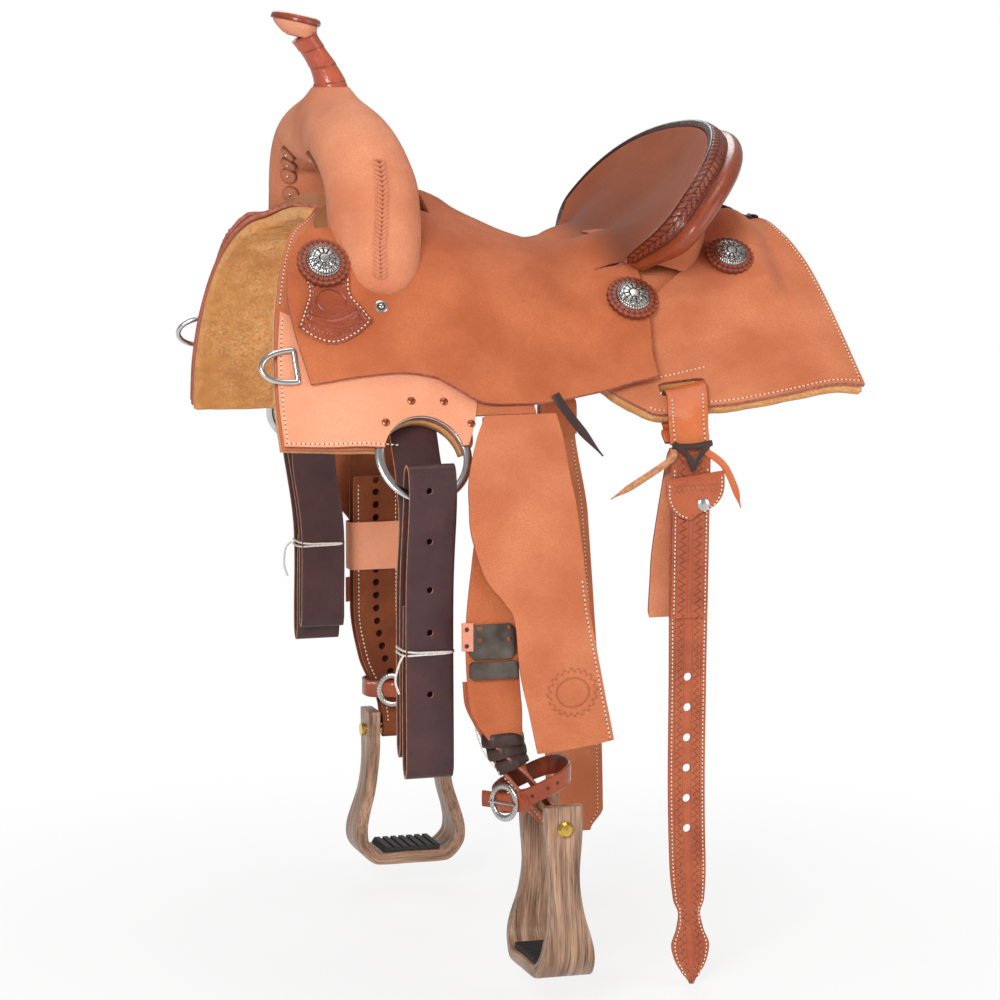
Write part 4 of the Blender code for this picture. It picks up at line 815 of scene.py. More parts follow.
def cut_away(made, cutters):
    for cutter in cutters:
        boolean = made.modifiers.new("Cut", "BOOLEAN")
        boolean.object = cutter
        boolean.operation = "DIFFERENCE"


def round_off(made, width, angle=50):
    bevel = made.modifiers.new("Round", "BEVEL")
    bevel.width = width
    bevel.segments = 2
    bevel.limit_method = "ANGLE"
    bevel.angle_limit = math.radians(angle)
    bevel.use_clamp_overlap = True


def panel(
    name, grid, thickness, key, body, replaces=(), rim="edge", tone=0.0, cutters=(), bevel=0.0008,
):
    """A leather panel with thickness, cut edges in their own colour, and rounded edges."""
    form = Form(key, rim)
    form.add(grid, grid_faces(*grid.shape[:2]), key, tone)

    def modify(made):
        thicken(made, thickness)
        cut_away(made, cutters)
        round_off(made, bevel)

    form.build(name, body, replaces, modify=modify)
    for cutter in cutters:
        bpy.data.objects.remove(cutter)


def strap_grid(centres, halves, across):
    """A grid across a strap, from its middle line and the vectors from there to its edge."""
    return centres[:, None] + halves[:, None] * np.linspace(-1, 1, across)[None, :, None]


def lofted(rings):
    """(points, faces) of a closed skin through rings, with its ends filled by fans."""
    rings = np.asarray(rings, float)
    count, sides = rings.shape[:2]
    faces = grid_faces(count, sides, loop_v=True).tolist()
    points = np.concatenate([rings.reshape(-1, 3), rings[:1].mean(1), rings[-1:].mean(1)])
    start, end = count * sides, count * sides + 1
    last = (count - 1) * sides
    for index in range(sides):
        after = (index + 1) % sides
        faces.append([start, after, index, index])
        faces.append([end, last + index, last + after, last + after])
    return points, [list(dict.fromkeys(face)) for face in faces]


def add_loft(form, rings, key, tone=0.0, grain=None):
    """Adds the closed skin through rings; a tone or grain for each point of them is given its ends too."""
    points, faces = lofted(rings)
    if np.size(tone) > 1:
        tone = np.concatenate([np.ravel(tone), [0.0, 0.0]])
    if grain is not None:
        grain = np.concatenate([grain.reshape(-1, 3), grain[:1].mean(1), grain[-1:].mean(1)])
    quads = [face for face in faces if len(face) == 4]
    others = [face for face in faces if len(face) == 3]
    start = form.count
    form.add(points, quads, key, tone, grain)
    form.faces.extend((np.array(others) + start).tolist())
    form.marks.extend([form.keys.index(key)] * len(others))


def frames_along(path, up):
    """(tangent, side, out) along a path; up is the direction, or directions, out of the surface."""
    tangent = unit(np.gradient(path, axis=0))
    side = unit(np.cross(np.broadcast_to(up, path.shape), tangent))
    return tangent, side, np.cross(tangent, side)


def tube(path, wide, high, up, sides=10, closed=False):
    """Rings of an oval tube along a path."""
    if closed:
        path = np.concatenate([path[-2:], path, path[:2]])
        up = up if np.ndim(up) == 1 else np.concatenate([up[-2:], up, up[:2]])
    _, side, out = frames_along(path, up)
    if closed:
        path, side, out = path[2:-2], side[2:-2], out[2:-2]
    turn = full_turn(sides)
    wide, high = np.broadcast_to(wide, len(path)), np.broadcast_to(high, len(path))
    return (
        path[:, None] + side[:, None] * (np.cos(turn)[None, :, None] * wide[:, None, None])
        + out[:, None] * (np.sin(turn)[None, :, None] * high[:, None, None])
    )


def add_loop(form, path, wide, high, up, sides, key):
    """Adds an oval tube along a path that closes on itself."""
    rings = tube(path, wide, high, up, sides, True)
    form.add(rings, grid_faces(len(path), sides, True, True), key)


def copies(form, shape, origins, first, second, third, key, tone=0.0):
    """Copies of a small (points, faces) shape, each in its own axes."""
    points, faces = shape
    origins = np.atleast_2d(origins)
    placed = (
        origins[:, None] + points[None, :, :1] * first[:, None]
        + points[None, :, 1:2] * second[:, None] + points[None, :, 2:] * third[:, None]
    )
    shift = (np.arange(len(origins)) * len(points))[:, None, None]
    start = form.count
    form.points.append(placed.reshape(-1, 3))
    form.tones.append(np.tile(np.broadcast_to(tone, len(points)), len(origins)))
    form.grains.append(placed.reshape(-1, 3))
    form.count += len(points) * len(origins)
    for size in (3, 4):
        some = np.array([face for face in faces if len(face) == size])
        if len(some):
            every = (some[None] + shift).reshape(-1, size) + start
            form.faces.extend(every.tolist())
            form.marks.extend([form.keys.index(key)] * len(every))


def bead(half_long, half_wide, height, rings, sides, sink):
    """A small rounded lump: long in its first direction, standing out in its third."""
    rows = []
    turn = full_turn(sides)
    for index in range(rings + 1):
        lift = math.pi * index / rings - math.pi / 2
        rows.append(np.stack([
            half_long * np.cos(turn) * max(math.cos(lift), 0.02),
            half_wide * np.sin(turn) * max(math.cos(lift), 0.02),
            np.full(sides, height * (math.sin(lift) - sink)),
        ], -1))
    return lofted(rows)


STITCH = bead(0.00175, 0.00078, 0.00060, rings=3, sides=6, sink=-0.35)
PRICK = bead(0.00072, 0.00085, 0.00014, rings=2, sides=6, sink=0.0)


def sew(form, path, up, pitch=STITCH_PITCH):
    """Stitches along a path on a surface: a thread over each step, a dark prick between two."""
    lengths = lengths_along(path)
    count = max(int(lengths[-1] / pitch), 2)
    data = np.concatenate([path, np.broadcast_to(up, path.shape)], 1)
    found = columns_at(data, lengths, (np.arange(count) + 0.5) * lengths[-1] / count)
    tangent, side, out = frames_along(found[:, :3], unit(found[:, 3:]))
    copies(form, STITCH, found[:, :3], tangent, side, out, "thread")
    pricks = found[:, :3] + tangent * pitch / 2
    copies(form, PRICK, pricks, tangent, side, out, "needle")


def edge_path(grid, edge, start, end, inset=STITCH_INSET):
    """(u, v) along one edge of a grid, a fixed distance inside it."""
    t = np.linspace(start, end, 160)
    axis = 1 if edge[0] == "v" else 0
    lengths = np.linalg.norm(np.diff(grid, axis=axis), axis=-1).sum(axis)
    own = np.interp(t, np.linspace(0, 1, len(lengths)), lengths)
    share = inset / np.maximum(own, inset * 2)
    share = share if edge[1] == "0" else 1 - share
    return (t, share) if edge[0] == "v" else (share, t)


def sew_grid(form, grid, thickness, u, v, pitch=STITCH_PITCH, face=1):
    """Stitches on one face of a panel, 1 or -1, along a path of (u, v)."""
    out = face * unit(sample(normals_of(grid), u, v))
    sew(form, sample(grid, u, v) + out * thickness / 2, out, pitch)


def sew_rows(form, grid, thickness, rows, start, end, count, pitch=STITCH_PITCH, face=1):
    """Stitches along a strap, in rows that are given as shares of its width."""
    u = np.linspace(start, end, count)
    for v in rows:
        sew_grid(form, grid, thickness, u, v + 0 * u, pitch, face)


def dome_at(form, place, out, radius, height, key, sides=20):
    """A round stud: a low dome with a rolled rim."""
    out = unit(np.array(out, float))
    across = unit(np.cross(out, vec(0.3, 0.1, 1)))
    other = np.cross(out, across)
    turn = full_turn(sides)[:, None]
    profile = ((1.0, -0.3), (1.0, 0.25), (0.93, 0.42), (0.75, 0.70), (0.48, 0.9), (0.2, 1.0), (0.04, 1.02))
    add_loft(form, [
        place + (across * np.cos(turn) + other * np.sin(turn)) * radius * r + out * height * h
        for r, h in profile
    ], key)


# Skirts, fleece and rigging leather


def surface_grid(side, height, top, bottom, front, rear, columns, rows):
    """A grid on the saddle surface between four edges; height is a function of (x, s)."""
    u, v = unit_grid(columns, rows)
    place = patch(top, bottom, front, rear, u, v)
    x, s = place[..., 0], place[..., 1]
    return facing(surface(x, side * s, height(x, s)), vec(0, side * 0.6, 0.5))


def arch_cutter(side):
    _, _, out = surface_axes(RING_CENTRE[0], side * RING_CENTRE[1])
    return rods([surface(RING_CENTRE[0], side * RING_CENTRE[1])], [out], ARCH_RADIUS, 0.10, 56)


def slot_cutter(side):
    along_x, across, out = surface_axes(SLOT_CENTRE[0], side * SLOT_CENTRE[1])
    centre = surface(SLOT_CENTRE[0], side * SLOT_CENTRE[1])
    turn = full_turn(36)[:, None]
    ring = (
        along_x * squared(np.cos(turn), 0.35) * SLOT_SIZE[0] / 2
        + across * squared(np.sin(turn), 0.35) * SLOT_SIZE[1] / 2
    )
    rings = np.stack([centre + ring - out * 0.03, centre + ring + out * 0.05])
    return cutting(rings, grid_faces(2, 36, loop_v=True))


def front_edge(grid):
    """Which edge of a grid lies to the front: the first or the last of its columns."""
    return "u0" if grid[0, 0, 0] < grid[-1, 0, 0] else "u1"


def make_skirts(side):
    """The two skirts and the rigging leaf of one side; gives their stitches, to be built later."""
    name = SIDES[side]
    threads = Form("thread", "needle")
    grid = surface_grid(
        side, lambda x, s: SKIRT_MID, FRONT_SKIRT_TOP, FRONT_HEM, SKIRT_FRONT, FRONT_SKIRT_BACK, 90, 80
    )
    panel(
        name + "_front_skirt_leather", grid, LEATHER, "rough", "saddle", [name + "_front_skirt"],
        cutters=[arch_cutter(side)],
    )
    sew_grid(threads, grid, LEATHER, *edge_path(grid, front_edge(grid), 0.10, 0.57))

    grid = surface_grid(side, rear_skirt_height, REAR_SKIRT_TOP, REAR_HEM, CANTLE_EDGE, SKIRT_REAR, 110, 110)
    panel(
        name + "_rear_skirt_leather", grid, LEATHER, "rough", "saddle", [name + "_rear_skirt"],
        cutters=[slot_cutter(side)],
    )
    rear_edge = "u1" if front_edge(grid) == "u0" else "u0"
    sew_grid(threads, grid, LEATHER, *edge_path(grid, rear_edge, 0.10, 0.97))
    u, v = edge_path(grid, "v1", 0.30, 0.98)
    sew_grid(threads, grid, LEATHER, u if rear_edge == "u1" else 1 - u, v)
    line = np.linspace(0.116, 0.172, 60)
    drop = 0.2185 + 0.02 * (line - 0.116)
    _, _, out = surface_axes(0.14, side * 0.22)
    sew(threads, surface(line, side * drop, rear_skirt_height(line, drop) + LEATHER / 2), out)

    grid = surface_grid(side, lambda x, s: RIG_LEAF_MID, *RIG_LEAF_SIDES, 90, 50)
    panel(
        name + "_rigging_leaf", grid, RIG_LEAF, "light", "saddle", [name + "_rigging_leather"],
        cutters=[arch_cutter(side)],
    )
    sew_grid(threads, grid, RIG_LEAF, *edge_path(grid, front_edge(grid), 0.05, 0.96))
    reach = (0.02, 0.50) if front_edge(grid) == "u0" else (0.50, 0.98)
    sew_grid(threads, grid, RIG_LEAF, *edge_path(grid, "v1", *reach))
    rivets = Form("copper")
    for x, s in RIVETS:
        _, _, out = surface_axes(x, side * s)
        dome_at(rivets, surface(x, side * s, RIG_LEAF_MID + RIG_LEAF / 2), out, 0.0043, 0.0016, "copper")
    rivets.build(name + "_rigging_rivets", "saddle")
    return threads


def make_fleece(side):
    """The wool lining: a thick soft sheet under both skirts, its surface tufted by noise."""
    name = SIDES[side]
    columns, rows = 230, 150
    front = FLEECE_TOP[:1] + SKIRT_FRONT[1:]
    rear = FLEECE_TOP[-1:] + SKIRT_REAR[1:]
    grid = surface_grid(
        side, lambda x, s: FLEECE_MID, FLEECE_TOP, FRONT_HEM + REAR_HEM, front, rear, columns, rows
    )
    normal = normals_of(grid)
    u, v = unit_grid(columns, rows)
    edge = np.minimum(np.minimum(u, 1 - u) * 0.60, np.minimum(v, 1 - v) * 0.34)
    fullness = np.sqrt(np.clip(1 - (1 - np.clip(edge / 0.006, 0, 1)) ** 2, 0, 1))
    tufts = (
        0.0009 * noise_field((columns, rows), 2.3, 3 + side)
        + 0.0011 * noise_field((columns, rows), 6.5, 9 + side)
        + 0.0008 * noise_field((columns, rows), 19, 14 + side)
    )
    half = FLEECE_THICKNESS / 2
    upper = grid + normal * (half * fullness)[..., None]
    lower = grid - normal * ((half + tufts) * fullness)[..., None]
    shade = np.clip(0.45 - tufts * 260, 0, 1) * 0.55
    form = Form("fleece", "fleece")
    form.add(upper, grid_faces(columns, rows), "fleece", 0.0)
    form.add(lower, grid_faces(columns, rows), "fleece", shade)

    cutters = [arch_cutter(side), slot_cutter(side)]

    form.build(
        name + "_wool_lining", "saddle", [name + "_fleece"], 180, 0.00001,
        lambda made: cut_away(made, cutters),
    )
    for cutter in cutters:
        bpy.data.objects.remove(cutter)


# Seat and cantle


def cantle_rim(angle):
    """The cantle's top edge, by an angle that is 0 at the middle and negative on the near side."""
    rise = np.maximum(0.0, np.cos(np.radians(angle)))
    widen = np.sin(np.minimum(1.0, rise / 0.36) * math.pi / 2)
    half_width = CANTLE_END_WIDTH + (CANTLE_HALF_WIDTH - CANTLE_END_WIDTH) * widen
    y = half_width * np.sqrt(1 - rise**3.5)
    x = CANTLE_END[0] + CANTLE_RAKE * (1 - (1 - rise) ** 0.8)
    return np.stack([x, np.sign(angle) * y, CANTLE_END[2] + CANTLE_HEIGHT * rise**0.9], -1)


def cantle_base(angle):
    """Where the dished face meets the seat."""
    turn = np.sin(np.radians(angle))
    x = SEAT_BACK_X + 0.007 + 0.011 * turn**4
    s = 0.098 * turn
    return surface(x, s, seat_height(x, s))


def dish(angle, v, depth):
    """The cantle's dished face: v is 0 at the rim and 1 at the seat."""
    angle, v = np.broadcast_arrays(angle, v)
    point = cantle_rim(angle) * (1 - v[..., None]) + cantle_base(angle) * v[..., None]
    sag = DISH_SAG * np.sin(math.pi * v) * np.cos(np.radians(angle))
    return point + DISH_BACKWARD * (sag + depth)[..., None]


def blend(start, leave, arrive, end, t):
    """A smooth way from start to end, with the directions it leaves and arrives in."""
    return (
        (2 * t**3 - 3 * t**2 + 1) * start + (t**3 - 2 * t**2 + t) * leave
        + (3 * t**2 - 2 * t**3) * end + (t**3 - t**2) * arrive
    )


def make_seat():
    """Seat, jockeys and the cantle's dished face as one skin, with openings round the fork and dish."""
    rows = np.linspace(-1, 1, 101)
    front_x = curve_at(np.abs(rows), JOCKEY_FRONT)
    hem_marks = np.concatenate([
        np.linspace(FORK_BACK_X, HAND_HOLE_X, 9), np.linspace(HAND_HOLE_X, SEAT_JOINT_X, 41)[1:],
        np.linspace(SEAT_JOINT_X, SEAT_BACK_X, 5)[1:], np.linspace(SEAT_BACK_X, JOCKEY_REAR_X, 9)[1:],
    ])
    ahead = 34
    share = np.linspace(0, 1, ahead, endpoint=False)[:, None]
    lead = front_x[None, :] + (FORK_BACK_X - front_x[None, :]) * share
    x = np.concatenate([lead, np.repeat(hem_marks[:, None], len(rows), 1)])
    across = np.broadcast_to(rows, x.shape)
    s = across * curve_at(x, JOCKEY_HEM)
    s = np.where(np.abs(s) < 1e-9, 1e-9, s)
    grid = surface(x, s, seat_height(x, s))
    mid_x, mid_row = (
        0.25 * (a[:-1, :-1] + a[1:, :-1] + a[:-1, 1:] + a[1:, 1:]) for a in (x, np.abs(across))
    )
    blocked = (mid_x < FORK_BACK_X) & (mid_row < GAP_ROW)
    blocked |= (mid_x < HAND_HOLE_X) & (mid_row < HAND_HOLE_ROW)
    blocked |= (mid_x > SEAT_JOINT_X) & (mid_row < GAP_ROW)
    form = Form("seat", "edge")
    form.add(grid, grid_faces(*x.shape)[~blocked.ravel()], "seat", 0.0)

    inner = np.abs(rows) <= GAP_ROW + 1e-9
    start = int(np.argmin(np.abs(hem_marks - SEAT_JOINT_X))) + ahead
    low, before = grid[start][inner], grid[start - 1][inner]
    turn = np.clip(rows[inner] / GAP_ROW, -1, 1)
    angles = np.degrees(np.arcsin(turn * 0.9945))
    angles = np.where(np.abs(angles) < 1e-6, 1e-6, angles)
    heights = np.linspace(0.84, 0.035, 34)
    face = dish(angles[None, :], heights[:, None], 0.0018)
    step = 9
    leave, arrive = (low - before) * 7.0, (face[1] - face[0]) * 7.0
    t = np.linspace(0, 1, step + 1, endpoint=False)[:, None, None]
    joint = blend(low, leave, arrive, face[0], t) + np.sin(math.pi * t) * vec(-0.0020, 0, 0.0026)
    back = np.concatenate([joint, face])
    # The dish is painted darker: partly its own browner leather, and most at its foot as painted shade in the
    # crease where it meets the seat, lighter towards its lit rim.
    dish_foot_shade = 0.86
    shade = [dish_foot_shade * ease(np.linspace(0, 1, step + 1), 0, 1), np.linspace(dish_foot_shade, 0.50, len(face))]
    tone = np.repeat(np.concatenate(shade)[:, None], back.shape[1], 1)
    form.add(back, grid_faces(*back.shape[:2]), "seat", tone)

    for column, side in ((0, NEAR), (-1, OFF)):
        rise = even(back[:, column], 40)
        foot_x = np.linspace(0.070, 0.113, 40)
        foot_s = side * GAP_ROW * curve_at(foot_x, JOCKEY_HEM)
        foot = surface(foot_x, foot_s, seat_height(foot_x, foot_s) - 0.004)
        low_end = 1 - ease(np.linspace(0, 1, 40), 0.25, 0.6)
        rise = rise - vec(0, 0, 0.0060) * low_end[:, None]
        v = np.linspace(0, 1, 14)[None, :, None]
        wall = rise[:, None] * (1 - v) + foot[:, None] * v
        wall[..., 1] -= side * 0.0022 * np.sin(math.pi * v[..., 0])
        # Tone 0.6 darkens the side walls like the dish beside them, partly as painted shade under the cantle.
        panel(
            SIDES[side] + "_cantle_side", facing(wall, vec(0.4, side, 0)), 0.0025, "seat", "saddle",
            tone=0.6,
        )

    def modify(made):
        thicken(made, LEATHER)
        round_off(made, 0.0009, 60)

    form.build(
        "seat_and_jockeys", "saddle", ["seat_leather", "cantle_dish"], 50, 0.00002, modify
    )


def roll_axes(angle):
    """Directions at the cantle's rim: out over its back, and up off its leather."""
    ahead = unit(cantle_rim(angle + 1.0) - cantle_rim(angle - 1.0))
    turn = np.sin(np.radians(angle))
    outward = np.stack([np.full_like(turn, 0.62), 0.55 * turn, np.full_like(turn, -0.45)], -1)
    outward = unit(outward - ahead * (outward * ahead).sum(-1, keepdims=True))
    return outward, unit(np.cross(outward, ahead))


def leaf_stamp(run, across):
    """Depth from 0 to 1 of a row of stamped leaves that meet on a middle line."""
    period = 0.0090
    half = np.abs(across)
    lean = (run / period + half * 0.95) % 1.0
    vein = bell(lean - 0.5, 0.13)
    middle_line = bell(half - 0.02, 0.08) * 0.8
    border = bell(half - 0.93, 0.10)
    ribs = 0.45 * bell((run / period * 2 - half * 1.6) % 1.0 - 0.5, 0.16) * (half < 0.85)
    return np.clip(vein * (half < 0.90) + middle_line + border + ribs, 0, 1)


def make_cantle_roll():
    """The stamped roll over the cantle's rim, thin at both ends."""
    count = 640
    angle = np.linspace(-ROLL_END_ANGLE, ROLL_END_ANGLE, 3001) + 1e-6
    reach = lengths_along(cantle_rim(angle))
    angle = np.interp(np.linspace(0, reach[-1], count), reach, angle)
    rim = cantle_rim(angle)
    outward, up = roll_axes(angle)
    from_end = reach[-1] * np.minimum(np.linspace(0, 1, count), np.linspace(1, 0, count))
    thin = 0.55 + 0.45 * ease(from_end, 0.0, 0.085)
    section = np.array(ROLL_SECTION)
    section = np.concatenate([section, section[:1]])
    fine = even(at_fraction(section, np.linspace(0, 1, 400)), 105)[:-1]
    run = lengths_along(rim)
    a = np.repeat(fine[None, :, 0], count, 0)
    b = np.repeat(fine[None, :, 1], count, 0)
    on_band = (fine[:, 0] > BAND_START) & (fine[:, 0] < BAND_END) & (fine[:, 1] > 0)
    across = (fine[:, 0] - (BAND_START + BAND_END) / 2) / ((BAND_END - BAND_START) / 2)
    stamp = leaf_stamp(run[:, None], across[None, :]) * on_band[None, :]
    b = b - ROLL_STAMP_DEPTH * stamp
    # The seam line is a real dark joint. The dark strip at the roll's inner edge, where it tucks against the
    # dish, is painted shade in that crease.
    seam = bell(fine[:, 0] - 0.0205, 0.0010) * (fine[:, 1] > 0)
    seam = seam + (fine[:, 0] < 0.0016)
    tone = np.clip(0.8 * stamp + 0.9 * seam[None, :] + 0.16, 0, 1)
    end = np.sqrt(np.clip(from_end / 0.010, 0.0009, 1))[:, None]
    rings = (
        rim[:, None] + outward[:, None] * ((0.006 + (a - 0.006) * end) * thin[:, None])[..., None]
        + up[:, None] * (b * thin[:, None] * end)[..., None]
    )
    form = Form("chestnut")
    add_loft(form, rings, "chestnut", tone)
    form.build("cantle_roll", "saddle", ["cantle_binding"], 80)


def make_cantle_back():
    """The leather behind the cantle, from under its roll down to the rear skirt."""
    angle = np.linspace(-87, 87, 121) + 1e-6
    outward, up = roll_axes(angle)
    narrow = (0.35 + 0.65 * ease(90 - np.abs(angle), 1, 40))[:, None]
    top = cantle_rim(angle) + (outward * 0.022 - up * 0.0065) * narrow
    place = at_fraction(CANTLE_EDGE, np.abs(angle) / 87 * 0.42)
    s = np.sign(angle) * (place[:, 1] + 0.001)
    foot = surface(place[:, 0] + 0.004, s, rear_skirt_height(place[:, 0], place[:, 1]) + 0.0016)
    v = np.linspace(0, 1, 26)[:, None, None]
    hollow = np.sin(math.pi * v) * np.array([-0.010, 0, 0.0])
    grid = top * (1 - v) + foot * v + hollow * np.cos(np.radians(angle))[None, :, None]
    grid = facing(grid, vec(1, 0, 0.3))
    panel("cantle_back_leather", grid, 0.003, "rough", "saddle")
    u, v = unit_grid(60, 12)
    place = at_fraction(CANTLE_EDGE, 0.22 + 0.70 * u[:, 0])
    inner = place * np.array([1.0, 0.74]) - np.array([0.014, 0.0])
    outer = place + np.array([0.004, 0.004])
    for side in (NEAR, OFF):
        under = outer[:, None] * (1 - v[..., None]) + inner[:, None] * v[..., None]
        x, s = under[..., 0], under[..., 1]
        sheet = facing(surface(x, side * s, rear_skirt_height(x, s) - 0.0046), vec(0, 0, 1))
        panel(SIDES[side] + "_skirt_under_cantle", sheet, 0.0028, "rough", "saddle")


# Fork and horn


def fork_point(station, turn):
    """Points of the fork's cover: station along its arch, negative on the near side."""
    along_arch = np.abs(station)
    marks = np.arange(len(FORK_ARCH))
    y, z, tilt, half_x, half_depth, x = (
        curve_at(along_arch, list(zip(marks, column))) for column in zip(*FORK_ARCH)
    )
    tilt = np.radians(tilt)
    grown = (FORK_SWELL + 0.002 / np.maximum(half_x, 0.01)) * (1 - 0.25 * ease(along_arch, 6, 8))
    out = grown * half_depth * np.sin(turn)
    point = np.stack([
        x + grown * half_x * np.cos(turn), np.where(station < 0, -1, 1) * (y + out * np.cos(tilt)),
        z + out * np.sin(tilt),
    ], -1)
    away = np.hypot(point[..., 0] - HORN_NECK[0][0], point[..., 1])
    upper = point[..., 2] > 0.17
    flare = 0.0105 * np.exp(-np.maximum(away - 0.018, 0) / 0.0095)
    point[..., 2] = np.where(upper, np.minimum(point[..., 2] + flare, FLARE_TOP), point[..., 2])
    return point


def fork_place(station, turn):
    """(point, direction out of the cover, direction down the arch) at one place."""
    here = fork_point(np.array(station), np.array(turn))
    down = fork_point(np.array(station) + 0.01 * np.sign(station), np.array(turn)) - here
    round_it = fork_point(np.array(station), np.array(turn) + 0.01) - here
    out = unit(np.cross(down, round_it))
    same = np.ones_like(here[..., 0])
    centre = np.stack([-0.18 * same, np.sign(here[..., 1]) * 0.115, 0.10 * same], -1)
    flip = np.where(((here - centre) * out).sum(-1, keepdims=True) < 0, -1, 1)
    return here, out * flip, unit(down)


def welt_degrees(share):
    """The braid's angle round the fork, as it goes down the arch."""
    return WELT_ANGLE + WELT_TURN * np.clip(share * 1.4, 0, 1)


def make_fork():
    """The fork's cover with painted shade in its folds and beside its braids, then its braids and tabs."""
    stations = np.concatenate([-np.linspace(8, 0.04, 110), np.linspace(0.04, 8, 110)])
    turns = full_turn(96)
    rings = fork_point(stations[:, None], turns[None, :])
    form = Form("fork")
    # Painted shade: the tone darkens the front-facing side of the fold near the arch's top, and a band beside
    # each braid.
    fold_shade = bell(np.abs(stations) - 1.15, 0.10)
    front = np.clip(-np.cos(turns - 0.55), 0, 1) ** 2
    welt = welt_degrees((np.abs(stations) - WELT_START) / WELT_REACH)
    welt_shade = bell(np.degrees(turns)[None, :] - welt[:, None], 6.0)
    welt_shade = welt_shade * ((np.abs(stations) > 2.25) & (np.abs(stations) < 4.85))[:, None]
    tone = 0.20 * fold_shade[:, None] * front[None, :] + 0.85 * welt_shade
    add_loft(form, rings, "fork", tone)
    form.build("fork_leather", "saddle", ["fork_cover"], 70)

    trim = Form("fork", "tooled", "silver")
    leaf = bead(0.0051, 0.0021, 0.0016, rings=4, sides=10, sink=0.25)
    for side in (NEAR, OFF):
        marks = np.linspace(0, 1, 27)
        stations = WELT_START + WELT_REACH * marks
        place, out, down = fork_place(side * stations, np.radians(welt_degrees(marks)))
        cross = np.cross(out, down)
        for lean in (-1, 1):
            long_way = unit(down * -0.62 + cross * lean * 0.80)
            origins = place + cross * lean * 0.0034
            copies(trim, leaf, origins, long_way, np.cross(out, long_way), out, "fork", 0.10)
        for mark, angle in TABS:
            spot, away, along_arch = fork_place(side * mark, math.radians(angle))
            make_tab(trim, spot, away, along_arch)
    trim.build("fork_trim", "saddle")


def make_tab(form, spot, away, along_arch):
    """A round tab of leather with a small pin, turned over the fork's front edge."""
    cross = np.cross(away, along_arch)
    sides = 28
    turn = full_turn(sides)[:, None]
    rings = []
    for radius, lift in (
        (0.0094, -0.0030), (0.0097, 0.0022), (0.0090, 0.0036), (0.0060, 0.0042), (0.0022, 0.0043),
    ):
        rings.append(spot + (along_arch * np.cos(turn) * 0.95 + cross * np.sin(turn)) * radius + away * lift)
    shade = np.repeat([1.0, 0.9, 0.45, 0.25, 0.25], sides)
    add_loft(form, rings, "fork", shade)
    dome_at(form, spot + away * 0.0042, away, 0.0019, 0.0012, "silver", 12)


def make_horn():
    """The horn's neck in a winding of leather, and its cap in two pieces with a seam."""
    count, sides = 90, 48
    line = at_fraction(HORN_NECK, np.linspace(0, 1, count))
    centre = np.stack([line[:, 0], np.zeros(count), line[:, 1]], -1)
    tangent = unit(np.gradient(centre, axis=0))
    across = vec(0, 1, 0)
    fore = np.cross(across, tangent)
    turn = full_turn(sides)
    t = np.linspace(0, 1, count)[:, None]
    wrap = (t * 4.6 + turn[None, :] / (2 * math.pi)) % 1.0
    lap = np.where(wrap < 0.07, wrap / 0.07, 1 - (wrap - 0.07) * 0.85)
    radius = line[:, 2][:, None] + 0.0009 * (lap - 0.6)
    rings = centre[:, None] + radius[..., None] * (
        np.cos(turn)[None, :, None] * fore[:, None] + np.sin(turn)[None, :, None] * across
    )
    form = Form("horn", "light", "thread", "needle")
    add_loft(form, rings, "horn", 0.75 * bell(wrap - 0.02, 0.035))

    tilt = HORN_CAP_TILT
    fore = vec(math.cos(tilt), 0, -math.sin(tilt))
    up = vec(math.sin(tilt), 0, math.cos(tilt))
    cap_sides = 72
    turn = full_turn(cap_sides)[:, None]

    def ring(height, half_x, half_y, shift=0.0):
        middle = HORN_CAP_CENTRE + up * height
        return middle + fore * (shift + half_x * np.cos(turn)) + across * half_y * np.sin(turn)

    cup = (
        (-0.0185, 0.0135, 0.0145, 0.008), (-0.0160, 0.0160, 0.0180, 0.004), (-0.0120, 0.0195, 0.0230, 0.002),
        (-0.0085, 0.0225, 0.0270, 0.001), (-0.0055, 0.0240, 0.0292, 0.0), (-0.0042, 0.0236, 0.0288, 0.0),
    )
    add_loft(form, [ring(*row) for row in cup], "light")
    scallop = 1 + 0.012 * np.abs(np.sin(18 * turn))
    rim = [ring(*row) for row in (
        (-0.0046, 0.0238, 0.0290), (-0.0040, 0.0262 * scallop, 0.0318 * scallop),
        (-0.0020, 0.0266, 0.0322), (0.0006, 0.0262, 0.0318), (0.0026, 0.0246, 0.0302),
        (0.0032, 0.0225, 0.0280), (0.0030, 0.0150, 0.0190), (0.0034, 0.0040, 0.0050),
    )]
    shade = np.repeat([0.9, 0.8, 0.3, 0.2, 0.1, 0.35, 0.0, 0.0], cap_sides)
    add_loft(form, rim, "horn", shade)
    stitch_ring = ring(0.0033, 0.0212, 0.0266)
    sew(form, np.concatenate([stitch_ring, stitch_ring[:1]]), up, CLOSE_PITCH)
    form.build("horn_leather", "saddle", ["horn_wrap", "horn_cap"], 50)


def make_rear_lacing():
    """The dark braid that laces the two rear skirts together along the spine."""
    form = Form("lace")
    x = np.linspace(0.226, 0.290, 10)
    spine = surface(x, 1e-6, rear_skirt_height(x, 0.0) + LEATHER / 2 + 0.0012)
    along_x = unit(np.gradient(spine, axis=0))
    across = np.broadcast_to(vec(0, 1, 0), spine.shape)
    out = np.cross(along_x, across)
    out = np.where(out[:, 2:] < 0, -out, out)
    strand = bead(0.0092, 0.0032, 0.0036, rings=5, sides=12, sink=0.1)
    for lean in (-1, 1):
        long_way = unit(along_x * 0.55 + across * lean)
        copies(form, strand, spine + across * lean * 0.0058, long_way, np.cross(out, long_way), out, "lace")
    form.build("rear_skirt_lacing", "saddle")


# Metal fittings


